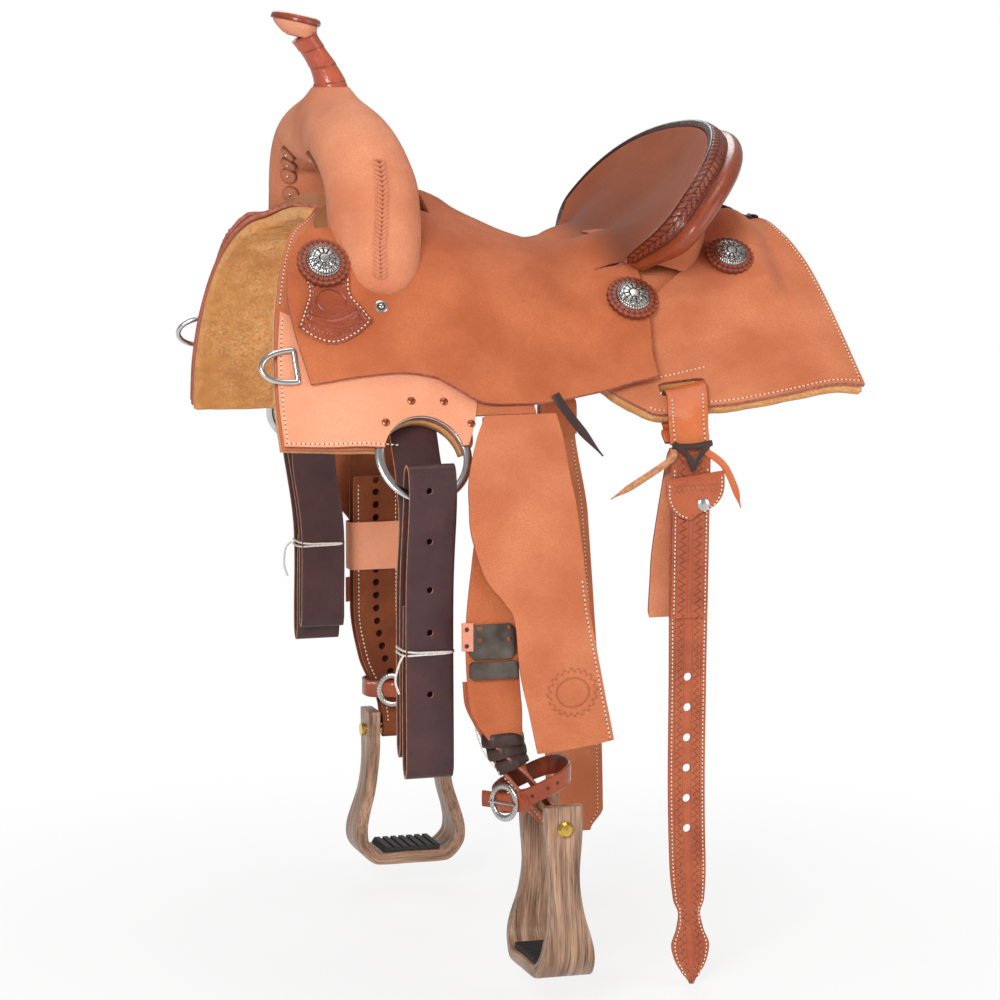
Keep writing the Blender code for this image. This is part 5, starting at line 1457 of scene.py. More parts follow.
def polar_form(form, centre, axes, radii, heights, key, tone, sides):
    """A round face from rings: radii and heights may change round it."""
    first, second, out = axes
    turn = full_turn(sides)[:, None]
    spoke = first * np.cos(turn) + second * np.sin(turn)
    rings = [centre + spoke * r[:, None] + out * h[:, None] for r, h in zip(radii, heights)]
    add_loft(form, rings, key, tone)


def make_concho(side, spot):
    """A scalloped leather rosette with an engraved silver dome on it."""
    x, s, lift, rosette, silver = CONCHOS[spot]
    under = rear_skirt_height if spot == "rear" else seat_height
    axes = surface_axes(x, side * s)
    centre = surface(x, side * s, float(under(x, s)) + 0.5 * LEATHER + lift)
    sides = 168
    turn = full_turn(sides)
    form = Form("rosette", "silver")
    petals = 1 - 0.075 * (1 - np.abs(np.cos(12 * turn)) ** 0.7)
    share = np.array([1.0, 1.0, 0.985, 0.93, 0.86, 0.78, 0.70, 0.60, 0.3])
    lift = np.array([-0.003, 0.0012, 0.0022, 0.0026, 0.0028, 0.0029, 0.0030, 0.0030, 0.0030])
    flute = bell(np.abs(np.cos(12 * turn)), 0.30)
    radii, heights, tones = [], [], []
    for r, h in zip(share, lift):
        deep = flute * (0.70 < r < 0.99)
        ridge = 1.0 if r == 0.86 else 0.0
        radii.append(rosette * r * petals)
        heights.append(h - 0.0009 * deep - 0.0005 * ridge)
        tones.append(np.clip(0.8 * deep + 0.7 * ridge + (0.5 if h < 0.002 else 0.0), 0, 1))
    polar_form(form, centre, axes, radii, heights, "rosette", np.concatenate(tones), sides)

    share = np.linspace(1.0, 0.02, 40)
    dome = 0.0034 + 0.0062 * np.sqrt(np.clip(1 - share**2.2, 0, 1))
    radii, heights, tones = [np.full(sides, silver)], [np.full(sides, 0.0022)], [np.full(sides, 0.4)]
    petal = np.abs(np.sin(6 * turn))
    for r, h in zip(share, dome):
        rope = (r > 0.90) * np.clip(np.cos(40 * turn), 0, 1) * 0.8
        gap = bell(r - 0.88, 0.022) + bell(r - 0.30, 0.03)
        lobes = (0.34 < r < 0.84) * bell(petal, 0.22)
        curls = (0.34 < r < 0.84) * bell(petal - 0.62 - 0.3 * math.sin(9 * r), 0.10)
        ring = bell(r - 0.62, 0.03) * (1 - 0.5 * np.abs(np.cos(6 * turn)))
        cut = np.clip(rope + gap + lobes + 0.8 * curls + 0.6 * ring, 0, 1)
        radii.append(np.full(sides, silver * r))
        heights.append(h - 0.00075 * cut)
        tones.append(np.clip(1.35 * cut - 0.05, 0, 1))
    polar_form(form, centre, axes, radii, heights, "silver", np.concatenate(tones), sides)
    name = SIDES[side] + "_" + spot
    form.build(name + "_silver", "saddle", [name + "_concho"], 60)


def keeper_outline(side, u, v):
    """The keeper's middle surface, on top of the front jockey."""
    place = patch(*KEEPER_SIDES, u, v)
    x, s = place[..., 0], place[..., 1]
    return surface(x, side * s, seat_height(x, s) + 0.5 * LEATHER + 0.0009 + 0.5 * STRAP)


def make_latigo_keeper(side):
    """The keeper under the front concho: tooled border, bare middle, and a slot for a strap's tip."""
    columns, rows = 190, 200
    u, v = unit_grid(columns, rows)
    grid = facing(keeper_outline(side, u, v), vec(0, side, 0.5))
    normal = normals_of(grid)
    wide, high = 0.070, 0.062
    from_side, from_end = np.minimum(u, 1 - u) * wide, np.minimum(v, 1 - v) * high
    edge = np.minimum(from_side, from_end)
    run = np.where(from_side < from_end, v * high, u * wide)
    scallops = bell(edge - 0.0082 - 0.0016 * np.abs(np.sin(run * math.pi / 0.0042)), 0.0007)
    line = bell(edge - 0.0064, 0.0005)
    oval = np.hypot((u - 0.5) / 0.30, (v - 0.40) / 0.17)
    oval_line = bell(oval - 1, 0.07) * 0.8
    slot_mark = bell(v - 0.70, 0.035) * ((u > 0.10) & (u < 0.90))
    slot_edge = bell(np.abs(v - 0.70) - 0.055, 0.010) * ((u > 0.10) & (u < 0.90))
    cut = np.clip(scallops * (oval > 1.1) + 0.8 * line + oval_line + slot_edge, 0, 1)
    grid = grid - normal * (TOOLING_DEPTH * cut)[..., None] + normal * (0.0012 * slot_mark)[..., None]
    name = SIDES[side] + "_latigo_keeper"
    panel(
        name + "_leather", grid, STRAP, "chestnut", "saddle", [name], rim="tan_edge",
        tone=0.9 * cut,
    )
    threads = Form("thread", "needle")
    for edge_name in ("u0", "u1", "v1"):
        sew_grid(threads, grid, STRAP, *edge_path(grid, edge_name, 0.06, 0.94, 0.0035))
    threads.build_stitching(SIDES[side] + "_keeper", "saddle")


def make_screw(side):
    """The round screw head behind the keeper, with its small ring."""
    form = Form("steel", "needle")
    x, s = SCREW
    _, _, out = surface_axes(x, side * s)
    spot = surface(x, side * s, seat_height(x, s) + LEATHER / 2)
    dome_at(form, spot, out, 0.0072, 0.0012, "steel", 28)
    dome_at(form, spot + out * 0.0010, out, 0.0044, 0.0006, "needle", 24)
    dome_at(form, spot + out * 0.0014, out, 0.0028, 0.0012, "steel", 20)
    form.build(SIDES[side] + "_jockey_screw", "saddle")


def make_ring_and_dee(side):
    """The flat rigging ring, and the dee of round wire on its bar."""
    name = SIDES[side]
    first, second, out = surface_axes(RING_CENTRE[0], side * RING_CENTRE[1])
    centre = surface(RING_CENTRE[0], side * RING_CENTRE[1], RING_MID)
    count = 120
    turn = full_turn(count)[:, None]
    path = centre + (first * np.cos(turn) + second * np.sin(turn)) * RING_RADIUS
    form = Form("steel")
    add_loop(form, path, RING_BAR, 0.45 * RING_BAR, out, 16, "steel")
    form.build(name + "_rigging_ring_steel", "saddle", [name + "_rigging_ring"], 60)

    top = surface(DEE_BAR_TOP[0], side * DEE_BAR_TOP[1], DEE_HEIGHT)
    bottom = surface(DEE_BAR_TOP[0] + 0.002, side * (DEE_BAR_TOP[1] + DEE_LENGTH), DEE_HEIGHT)
    along_bar = unit(bottom - top)
    out = surface_axes(DEE_BAR_TOP[0], side * DEE_BAR_TOP[1])[2]
    forward = np.cross(along_bar, out)
    forward = forward if forward[0] < 0 else -forward
    middle, half = (top + bottom) / 2, DEE_LENGTH / 2
    turn = np.linspace(0, math.pi, 60)[:, None]
    bow = middle + along_bar * half * np.cos(turn) + forward * DEE_REACH * np.sin(turn) ** 0.8
    bar = middle + along_bar * half * np.linspace(-1, 1, 24)[1:-1, None]
    path = even(np.concatenate([bow, bar, bow[:1]]), count)[:-1]
    form = Form("steel")
    add_loop(form, path, DEE_WIRE * 1.02, DEE_WIRE * 0.86, out, 14, "steel")
    form.build(name + "_dee_steel", name + "_dee", [name + "_front_dee"], 60)


# Straps


def latigo_path(side, front_length, lean):
    """The marks a latigo passes: down behind, up, over the ring, down in front, and up to its tip."""
    bar = surface(RING_CENTRE[0], side * (RING_CENTRE[1] + RING_RADIUS), RING_MID)
    behind = [surface(RING_CENTRE[0], side * s, -0.0205) for s in (0.300, 0.335, 0.368)]
    drop = -front_length
    offsets = (
        (-0.0235, -0.030), (-0.0245, -0.100), (-0.0245, drop + 0.045), (-0.0235, drop + 0.026),
        (-0.0185, drop + 0.018), (-0.0135, drop + 0.026), (-0.0125, drop + 0.045),
        (-0.0115, -0.100), (-0.0110, -0.010), (-0.0100, 0.018), (-0.0050, 0.031), (0.0015, 0.0345),
        (0.0080, 0.030), (0.0112, 0.016), (0.0116, -0.010), (0.0120, -0.100), (0.0125, drop + 0.030),
        (0.0115, drop + 0.008), (0.0060, drop), (0.0002, drop + 0.006), (-0.0025, drop + 0.028),
        (-0.0035, -0.110),
    )
    rest = [bar + vec(lean * ease(-up, 0.0, 0.08), side * out, up) for out, up in offsets]
    return np.array(behind + rest), bar


def make_latigo(side, name, body, front_length, lean, hole_drops, tie_drop):
    """A doubled strap over the rigging ring, with its holes and the string tied round it."""
    points, bar = latigo_path(side, front_length, lean)
    count = 520
    centres = through(points, count)
    reach = 1 - 0.05 * ease(np.arange(count), count - 40, count - 1)
    halves = vec(LATIGO_WIDTH / 2, 0, 0) * reach[:, None]
    grid = strap_grid(centres, halves, 13)
    outermost = bar[1] + side * 0.0118
    drops = bar[2] - np.array(hole_drops)
    holes = np.stack([bar[0] + lean + 0 * drops, outermost + 0 * drops, drops], -1)
    panel(
        name + "_leather", grid, STRAP, "latigo", body, [name], rim="tan_edge",
        cutters=[rods(holes, [vec(0, 1, 0)] * len(drops), LATIGO_HOLE, 0.008)], bevel=0.0006,
    )
    extra = Form("tie")
    turn = full_turn(64)
    middle = vec(bar[0] + lean, bar[1] - side * 0.006, bar[2] - tie_drop)
    half_x, half_y = LATIGO_WIDTH / 2 + 0.0025, 0.0218
    for lift, slant in ((0.0, 0.05), (0.0022, -0.06)):
        loop = np.stack([
            middle[0] + half_x * squared(np.cos(turn), 0.35), middle[1] + half_y * squared(np.sin(turn), 0.6),
            middle[2] + lift + slant * half_x * np.cos(turn),
        ], -1)
        add_loop(extra, loop, 0.0013, 0.0011, vec(0, 0, 1), 8, "tie")
    start = middle + vec(-half_x, side * 0.018, 0)
    loose = through([
        start, start + vec(-0.006, side * 0.004, -0.008), start + vec(-0.009, 0, -0.026),
        start + vec(-0.005, 0, -0.040),
    ], 24)
    add_loft(extra, tube(loose, 0.0012, 0.0012, vec(0, 1, 0), 8), "tie")
    extra.build(name + "_tie", body)


def tooled_strap(grid, columns, period=0.0078, swing=0.0026, width=0.0011):
    """Stamps zigzag columns into a strap: columns are shares of its width. Returns (grid, tone)."""
    normal = normals_of(grid)
    middle = grid[:, grid.shape[1] // 2]
    run = lengths_along(middle)
    half = np.linalg.norm(grid[:, -1] - grid[:, 0], axis=-1) / 2
    place = np.linspace(-1, 1, grid.shape[1])[None, :] * half[:, None]
    wave = (np.abs((run / period) % 1.0 - 0.5) * 4 - 1)[:, None]
    cut = np.zeros(grid.shape[:2])
    for column in columns:
        centre = column * half[:, None]
        cut = np.maximum(cut, bell(place - centre - swing * wave, width))
        cut = np.maximum(cut, 0.7 * bell(np.abs(place - centre) - 1.55 * swing - 0.0008, 0.0004))
    return grid - normal * (TOOLING_DEPTH * cut)[..., None], 0.9 * cut


def make_billet_loop(side):
    """The short loop through the slot of the rear skirt that carries what hangs behind."""
    name = SIDES[side] + "_billet_loop"
    half = BILLET_WIDTH / 2
    lean = NEAR_BILLET_LEAN if side == NEAR else 0.0

    def edge(x):
        return np.array([
            vec(x - lean, side * 0.2245, -0.1545), vec(x - lean, side * 0.2120, -0.1450),
            surface(x, side * 0.268, -0.0205), surface(x, side * 0.252, -0.0200),
            surface(x, side * 0.2420, -0.0160), surface(x, side * 0.2385, -0.0060),
            surface(x, side * 0.2382, 0.0040), surface(x, side * 0.2410, 0.0092),
            surface(x, side * 0.250, 0.0110), surface(x - 0.5 * lean, side * 0.272, 0.0115),
            vec(x - lean, side * 0.2345, -0.1360), vec(x - lean, side * 0.2400, -0.1545),
        ])

    left, right = (through(edge(SLOT_CENTRE[0] + offset), 150) for offset in (-half, half))
    v = np.linspace(0, 1, 15)[None, :, None]
    grid = left[:, None] * (1 - v) + right[:, None] * v
    if side == NEAR:
        grid = grid[:, ::-1]
    panel(name + "_leather", grid, STRAP, "orange", "saddle", [name], rim="dark_edge")
    threads = Form("thread", "needle")
    front = grid[95:]
    sign = 1 if (normals_of(front)[:, :, 1].mean() * side) > 0 else -1
    sew_rows(threads, front, STRAP, (0.12, 0.88), 0.02, 0.95, 90, face=sign)
    threads.build_stitching(name, "saddle")


def near_strap(centres, half_widths, across):
    """A strap's grid, flat in x, that faces the near side."""
    return facing(strap_grid(centres, half_widths[:, None] * vec(1, 0, 0), across), vec(0, -1, 0))


def make_near_billet():
    """The long tooled billet with its holes, the liner behind its top and the overlay in front."""
    x = SLOT_CENTRE[0] - NEAR_BILLET_LEAN
    front = [
        vec(x, -0.2375, -0.1590), vec(x, -0.2415, -0.1625), vec(x, -0.2430, -0.175),
        vec(x - 0.002, -0.2450, -0.26), vec(x - 0.003, BILLET_FACE, -0.40),
        vec(x - 0.003, BILLET_FACE, -0.55), vec(x + 0.004, BILLET_FACE, -0.732),
    ]
    centres = through(front, 640)
    widths = curve_at(-centres[:, 2], (
        (0.17, 0.0215), (0.26, 0.0215), (0.400, 0.0205), (0.600, 0.0200), (0.640, 0.0170), (0.655, 0.0120),
        (0.672, 0.0150), (0.690, 0.0210), (0.705, 0.0180), (0.7325, 0.0015),
    ))
    grid = near_strap(centres, widths, 61)
    grid, tone = tooled_strap(grid, (-0.46, 0.46))
    drops = np.array([BILLET_FIRST_HOLE + BILLET_HOLE_STEP * index for index in range(BILLET_HOLES)])
    spots = np.stack([np.interp(drops, -centres[:, 2], centres[:, 0]), BILLET_FACE + 0 * drops, -drops], -1)
    holes = rods(spots, [vec(0, 1, 0)] * len(drops), BILLET_HOLE, 0.02, 24)
    panel(
        "near_rear_billet_leather", grid, STRAP, "tooled", "near_billet_strap", ["near_rear_billet"],
        rim="edge", tone=tone, cutters=[holes],
    )
    threads = Form("thread", "needle")
    sew_rows(threads, grid, STRAP, (0.075, 0.925), 0.04, 0.985, 400, CLOSE_PITCH)

    liner = [
        vec(x - 0.022, -0.2330, -0.337), vec(x - 0.020, -0.2330, -0.30), vec(x - 0.017, -0.2330, -0.26),
        vec(x - 0.003, -0.2325, -0.175), vec(x, -0.2335, -0.1625), vec(x, -0.2375, -0.1586),
    ]
    centres = through(liner, 120)
    widths = 0.0215 - 0.002 * ease(-centres[:, 2], 0.33, 0.337)
    back = near_strap(centres, widths, 15)
    panel(
        "near_billet_liner", back, STRAP, "fork", "near_billet_strap", rim="dark_edge"
    )
    overlay = through([
        vec(x - 0.001, -0.2478, -0.200), vec(x - 0.002, -0.2482, -0.26), vec(x - 0.003, -0.2484, -0.337)
    ], 230)
    over = near_strap(overlay, np.full(len(overlay), 0.0200), 57)
    over, tone = tooled_strap(over, (-0.44, 0.44), 0.0084, 0.0036, 0.0013)
    panel(
        "near_billet_overlay", over, BILLET_OVERLAY, "tooled", "near_billet_strap",
        rim="edge", tone=tone,
    )
    sew_rows(threads, over, BILLET_OVERLAY, (0.07, 0.93), 0.05, 0.97, 200, CLOSE_PITCH)
    make_billet_keeper(threads)
    threads.build_stitching("near_billet", "near_billet_strap")


def make_billet_keeper(threads):
    """The half-round flap with its snap, two rows of stamps, dark lace above it and two strings."""
    half_width, tip, shoulder, fold = 0.032, -0.229, -0.200, -0.186
    u, v = unit_grid(90, 80)
    z = tip + (fold - tip) * u
    rounding = np.maximum(0.0, (shoulder - z) / (shoulder - tip)) ** 2.2
    width = half_width * np.sqrt(np.maximum(0.03, 1 - rounding))
    x = FLAP_X + width * (2 * v - 1)
    y = -0.2520 + 0.0020 * ease(z, fold - 0.006, fold)
    grid = facing(np.stack([x, y, z + 0.004 * (2 * v - 1)], -1), vec(0, -1, 0))
    local_x, z = grid[..., 0] - FLAP_X, grid[..., 2]
    wave = 0.0016 * np.cos(local_x * 2 * math.pi / 0.0052)
    row = bell(z + 0.197 + wave, 0.0007) + bell(z + 0.202 - wave, 0.0006)
    row = np.clip(row * (np.abs(local_x) < 0.025), 0, 1)
    grid = grid - normals_of(grid) * (0.0006 * row)[..., None]
    body = "near_billet_strap"
    panel(
        "near_billet_flap", grid, STRAP, "tooled", body, ["near_billet_keeper"],
        rim="edge", tone=0.8 * row,
    )
    for edge in ("v0", "v1"):
        sew_grid(threads, grid, STRAP, *edge_path(grid, edge, 0.12, 0.96, 0.0032), 0.0040)
    fittings = Form("steel", "lace", "tan_edge", "orange")
    outward = vec(0, -1, 0)
    dome_at(fittings, vec(SLOT_CENTRE[0] + 0.003, -0.2535, -0.2165), outward, 0.0068, 0.0022, "steel", 32)
    x = SLOT_CENTRE[0] - NEAR_BILLET_LEAN
    laces = (
        ((x - 0.021, -0.2475, -0.152), (x - 0.007, -0.2500, -0.164), (x + 0.001, -0.2490, -0.181)),
        ((x + 0.021, -0.2475, -0.152), (x + 0.008, -0.2500, -0.164), (x - 0.001, -0.2490, -0.181)),
        ((x - 0.022, -0.2470, -0.155), (x, -0.2500, -0.1555), (x + 0.022, -0.2470, -0.153)),
    )
    for points in laces:
        add_loft(fittings, tube(through(points, 30), 0.0032, 0.0013, outward, 10), "lace")
    strings = {
        "tan_edge": (
            (x - 0.020, -0.2455, -0.158), (0.110, -0.2500, -0.168), (0.075, -0.2500, -0.190),
            (0.045, -0.2460, -0.208),
        ),
        "orange": (
            (x + 0.016, -0.2455, -0.162), (0.168, -0.2480, -0.176), (0.180, -0.2480, -0.198),
            (0.189, -0.2460, -0.223),
        ),
    }
    taper = 0.0038 * (1 - 0.85 * ease(np.linspace(0, 1, 40), 0.72, 1.0))
    for key, points in strings.items():
        add_loft(fittings, tube(through(points, 40), taper, 0.0011, outward, 10), key)
    fittings.build("near_billet_fittings", body)


def make_flank_cinch():
    """The wide cinch strap that hangs behind on the off side."""
    points = [
        vec(0.142, 0.2325, -0.200), vec(0.142, 0.2320, -0.177), vec(0.142, 0.2330, -0.1655),
        vec(0.142, 0.2375, -0.1615), vec(0.142, 0.2420, -0.1655), vec(0.142, 0.2435, -0.177),
        vec(0.145, 0.2450, -0.26), vec(0.155, 0.2460, -0.40), vec(0.165, 0.2460, -0.55),
        vec(0.168, 0.2460, -0.676),
    ]
    centres = through(points, 320)
    drop = -centres[:, 2]
    in_front = centres[:, 1] > 0.2433
    widening = 0.5 * (FLANK_CINCH_WIDTH - BILLET_WIDTH) * ease(drop, 0.18, 0.30)
    width = 0.5 * BILLET_WIDTH + in_front * widening
    width = width * (1 - 0.45 * ease(drop, 0.650, 0.676))
    grid = near_strap(centres, width, 21)
    panel(
        "off_flank_cinch_leather", grid, FLANK_CINCH_LEATHER, "rough", "off_cinch_strap",
        ["off_flank_cinch"],
    )
    threads = Form("thread", "needle")
    for face in (1, -1):
        sew_rows(threads, grid, FLANK_CINCH_LEATHER, (0.10, 0.90), 0.16, 0.985, 260, face=face)
    threads.build_stitching("off_flank_cinch", "off_cinch_strap")


def make_seat_string():
    """The dark string that hangs from under the near jockey, behind the fender."""
    form = Form("lace")
    path = through([
        vec(-0.006, -0.215, -0.100), vec(0.001, -0.2185, -0.1122), vec(0.0156, -0.223, -0.1321),
        vec(0.030, -0.2255, -0.1500), vec(0.0424, -0.228, -0.1649),
    ], 50)
    wide = 0.0048 * (1 - 0.8 * ease(np.linspace(0, 1, 50), 0.55, 1.0))
    add_loft(form, tube(path, wide, 0.0010, vec(0, -1, 0.2), 10), "lace")
    form.build("near_seat_string", "saddle")


# Stirrup leathers, fenders and buckles


def fender_y(z):
    """How far out the leather hangs, at a height."""
    fall = np.clip((FENDER_HINGE[1] - z) / FENDER_RUN, 0.0, 1.0)
    return FENDER_HINGE[0] + FENDER_OUT * np.sin(fall * math.pi / 2) - 0.010 * ease(-z, 0.42, 0.54)


def leather_spread(z):
    """Half the gap between the leather's two layers, at a height."""
    return LEATHER_LAYER * ease(-z, 0.13, 0.22)


def leather_twist(side, z):
    """The near leather turns a quarter so that its stirrup faces ahead."""
    return math.pi / 2 * ease(-z, 0.425, 0.505) if side == NEAR else 0.0 * z


def leather_spine(side, z):
    """The leather's middle line at some heights."""
    marks = [(-height, x) for height, x in SPINE[side]]
    return np.stack(np.broadcast_arrays(curve_at(-z, marks), side * fender_y(z), z), -1)


def leather_frame(side, z):
    """The leather's middle at some heights, its wide direction, and out of its face."""
    z = np.asarray(z, float)
    turn = leather_twist(side, z)
    wide = np.stack([np.cos(turn), np.sin(turn), 0 * turn], -1)
    down = leather_spine(side, z - 0.004) - leather_spine(side, z + 0.004)
    out = unit(np.cross(wide, down))
    away = np.stack([-side * np.sin(turn), side * np.cos(turn), 0 * turn], -1)
    out = np.where((out * away).sum(-1, keepdims=True) < 0, -out, out)
    return leather_spine(side, z), wide, out


def make_leather(side):
    """The stirrup leather, doubled round its bolt, and the strap that it hangs from."""
    name, body = SIDES[side], LEATHER_BODY[side]
    bolt_z = BOLT_Z[side]
    z = np.linspace(FENDER_HINGE[1] - 0.0012, bolt_z, 240)
    middle, wide, out = leather_frame(side, z)
    outer = middle + out * leather_spread(z)[:, None]
    end, end_wide, end_out = (a[-1] for a in (middle, wide, out))
    around = np.cross(end_wide, end_out)
    around = around if around[2] < 0 else -around
    turn = np.linspace(0, math.pi, 22)[1:-1, None]
    bend = end + LEATHER_LAYER * (end_out * np.cos(turn) + around * np.sin(turn))
    z_back = np.linspace(bolt_z, LEATHER_TIP_Z[side], 200)
    middle, wide_back, out_back = leather_frame(side, z_back)
    inner = middle - out_back * leather_spread(z_back)[:, None]
    centres = np.concatenate([outer, bend, inner])
    halves = np.concatenate([wide, np.repeat(end_wide[None], len(bend), 0), wide_back]) * LEATHER_WIDTH / 2
    if side == NEAR:
        drop = -centres[:, 2]
        halves = halves * (1 - 0.34 * ease(drop, 0.405, 0.455) * (1 - ease(drop, 0.480, 0.525)))[:, None]
    grid = strap_grid(centres, halves, 17)
    cutters = []
    if side == OFF:
        heights = -LEATHER_FIRST_HOLE - LEATHER_HOLE_STEP * np.arange(LEATHER_HOLES)
        spot, _, away = leather_frame(side, heights)
        spot = spot - away * leather_spread(heights)[:, None]
        spot[:, 0] -= 0.001
        cutters = [rods(spot, away, LEATHER_HOLE, 0.009, 16)]
    # The near leather takes the darker seat leather as painted shade, for the shadow it hangs in beside the
    # fender.
    panel(
        name + "_stirrup_leather_strap", grid, STRAP, "seat" if side == NEAR else "inner", body,
        [name + "_stirrup_leather"], cutters=cutters,
    )
    threads = Form("thread", "needle")
    inner_grid = facing(strap_grid(inner, wide_back * LEATHER_WIDTH / 2, 17), vec(0, -side, 0))
    sew_rows(threads, inner_grid, STRAP, (0.10, 0.90), 0.03, 0.97, 240)
    threads.build_stitching(name + "_stirrup_leather", body)

    half = LEATHER_WIDTH / 2
    edges = []
    for offset, low in ((-half, -0.039), (half, 0.031)):
        x = HANGER_X + offset
        points = [surface(x, side * s, CHANNEL_MID) for s in (0.116, 0.15, 0.19, 0.220)]
        foot = vec(HANGER_X + low, side * FENDER_HINGE[0], FENDER_HINGE[1] + 0.0004)
        edges.append(through(points + [foot], 60))
    v = np.linspace(0, 1, 13)[None, :, None]
    panel(
        name + "_stirrup_hanger_strap", edges[0][:, None] * (1 - v) + edges[1][:, None] * v, FENDER_LEATHER,
        "rough", name + "_hanging_leather", [name + "_stirrup_hanger"],
    )


def make_keeper_band():
    """A light band round both layers of the off stirrup leather."""
    low, high = -0.356, -0.300
    spot, wide, out = (a[0] for a in leather_frame(OFF, np.array([(low + high) / 2])))
    count = 72
    turn = full_turn(count)
    half_w, half_t = LEATHER_WIDTH / 2 + 0.0042, LEATHER_LAYER + 0.0042
    ring = (
        spot + wide * (half_w * squared(np.cos(turn), 0.32))[:, None]
        + out * (half_t * squared(np.sin(turn), 0.42))[:, None]
    )
    away = unit(ring - spot)
    half_high = (high - low) / 2
    section = ((0.0, -1), (0.0012, -0.98), (0.0012, 0.98), (0.0, 1), (-0.0008, 0.98), (-0.0008, -0.98))
    rings = np.stack([ring + away * a + vec(0, 0, half_high * b) for a, b in section], 1)
    form = Form("light")
    form.add(rings, grid_faces(count, len(section), True, True), "light")
    form.build("off_leather_keeper_band", LEATHER_BODY[OFF])


def make_fender(side):
    """The fender: a curved blade in front of the leather, with its stamp and its seam."""
    name, body = SIDES[side], LEATHER_BODY[side]
    marks = np.linspace(0, 1, 420)
    rows = at_fraction(BLADE_ROWS, marks)
    z, left, right = rows.T
    v = np.linspace(0, 1, 101)[None, :]
    curl = 0.004 * (2 * v - 1) ** 2
    step = 0.002
    rise = fender_y(z - step) - fender_y(z + step)
    normal = unit(np.stack([0 * z, np.full_like(z, side * 2 * step), rise], -1))
    lift = leather_spread(z)[:, None] + FENDER_OFFSET + (0.0100 - curl) * ease(-z, 0.18, 0.30)[:, None]
    x = left[:, None] + (right - left)[:, None] * v
    flat = np.stack(np.broadcast_arrays(x, side * fender_y(z)[:, None], z[:, None]), -1)
    slant = 0.010 * (1 - 2 * v) * ease(-z, 0.40, 0.452)[:, None]
    flat[..., 2] -= 0.5 * slant
    grid = facing(flat + normal[:, None] * lift[..., None], vec(0, side, 0))
    grid, tone = stamp_oval(grid)
    panel(
        name + "_fender_leather", grid, FENDER_LEATHER, "rough", body, [name + "_fender"],
        tone=tone,
    )
    threads = Form("thread", "needle")
    sew_grid(threads, grid, FENDER_LEATHER, *edge_path(grid, "v1", 0.52, 0.99, 0.0045))
    threads.build_stitching(name + "_fender", body)


def stamp_oval(grid):
    """Presses a plain oval with a toothed edge into the fender. Returns (grid, tone)."""
    dx, dz = grid[..., 0] - OVAL_CENTRE[0], grid[..., 2] - OVAL_CENTRE[1]
    turn = np.arctan2(dz, dx)
    reach = np.hypot(dx / 0.0255, dz / 0.0235)
    teeth = 1 + 0.055 * np.sign(np.sin(20 * turn))
    outer = bell(reach - teeth, 0.055)
    inner = bell(np.hypot(dx / 0.0175, dz / 0.0150) - 1, 0.08)
    cut = np.clip(outer + inner, 0, 1)
    return grid - normals_of(grid) * (0.0006 * cut)[..., None], 0.55 * cut


def closed_sheet(grid, out, thickness):
    """Rings of a thin closed slab over a small grid, to loft."""
    half = out * thickness / 2
    return [np.concatenate([column + half, (column - half)[::-1]]) for column in grid]


def buckle_place(side):
    """The middle of the buckle's plate, its wide direction, and out of it."""
    spot, wide, out = leather_frame(side, np.array([BUCKLE_Z[side]]))
    return spot[0] + out[0] * (LEATHER_LAYER + 0.0030), wide[0], out[0]


def make_leather_buckle(side):
    """Studs on the plate, its leather pad, and the three wraps below it on the near side."""
    name, body = SIDES[side], LEATHER_BODY[side]
    centre, wide, out = buckle_place(side)
    form = Form("pink", "copper", "lace")
    up = vec(0, 0, 1)
    for across in (-0.014, 0.018):
        for lift in (0.002, 0.014):
            spot = centre + wide * across + up * lift + out * 0.0010
            dome_at(form, spot, out, 0.0024, 0.0005, "copper", 16)
    pad_u, pad_v = unit_grid(12, 14)
    pad = (
        centre - wide * (0.0325 - 0.0110 * pad_u)[..., None] + up * (0.029 * pad_v - 0.0085)[..., None]
        + out * (0.0022 - 0.0030 * (1 - pad_u))[..., None]
    )
    add_loft(form, closed_sheet(pad, out, 0.0022), "pink")
    for lift in (-0.003, 0.014):
        spot = centre - wide * 0.0280 + up * lift + out * 0.0020
        dome_at(form, spot, out, 0.0023, 0.0010, "lace", 16)
    wraps = 3 if side == NEAR else 0
    for index in range(wraps):
        z = -0.446 - 0.0125 * index
        spot, wide_at, out_at = (a[0] for a in leather_frame(side, np.array([z])))
        turn = full_turn(56)
        loop = (
            spot + wide_at * ((0.33 * LEATHER_WIDTH + 0.0022) * squared(np.cos(turn), 0.5))[:, None]
            + out_at * ((LEATHER_LAYER + 0.0036) * squared(np.sin(turn), 0.5))[:, None]
            + up * 0.0022 * np.sin(turn)[:, None]
        )
        add_loop(form, loop, 0.0068, 0.0014, unit(loop - spot), 10, "lace")
    form.build(name + "_buckle_studs", body)


def hobble_ring(side, angle, grow=0.0):
    """The hobble's oval outline, grown by a little, from its middle."""
    half_x, half_y, lean = HOBBLE_SIZE[side]
    x = (half_x + grow) * squared(np.cos(angle), 0.7)
    y = (half_y + grow) * squared(np.sin(angle), 0.7)
    return np.stack([x, y, lean * x], -1)


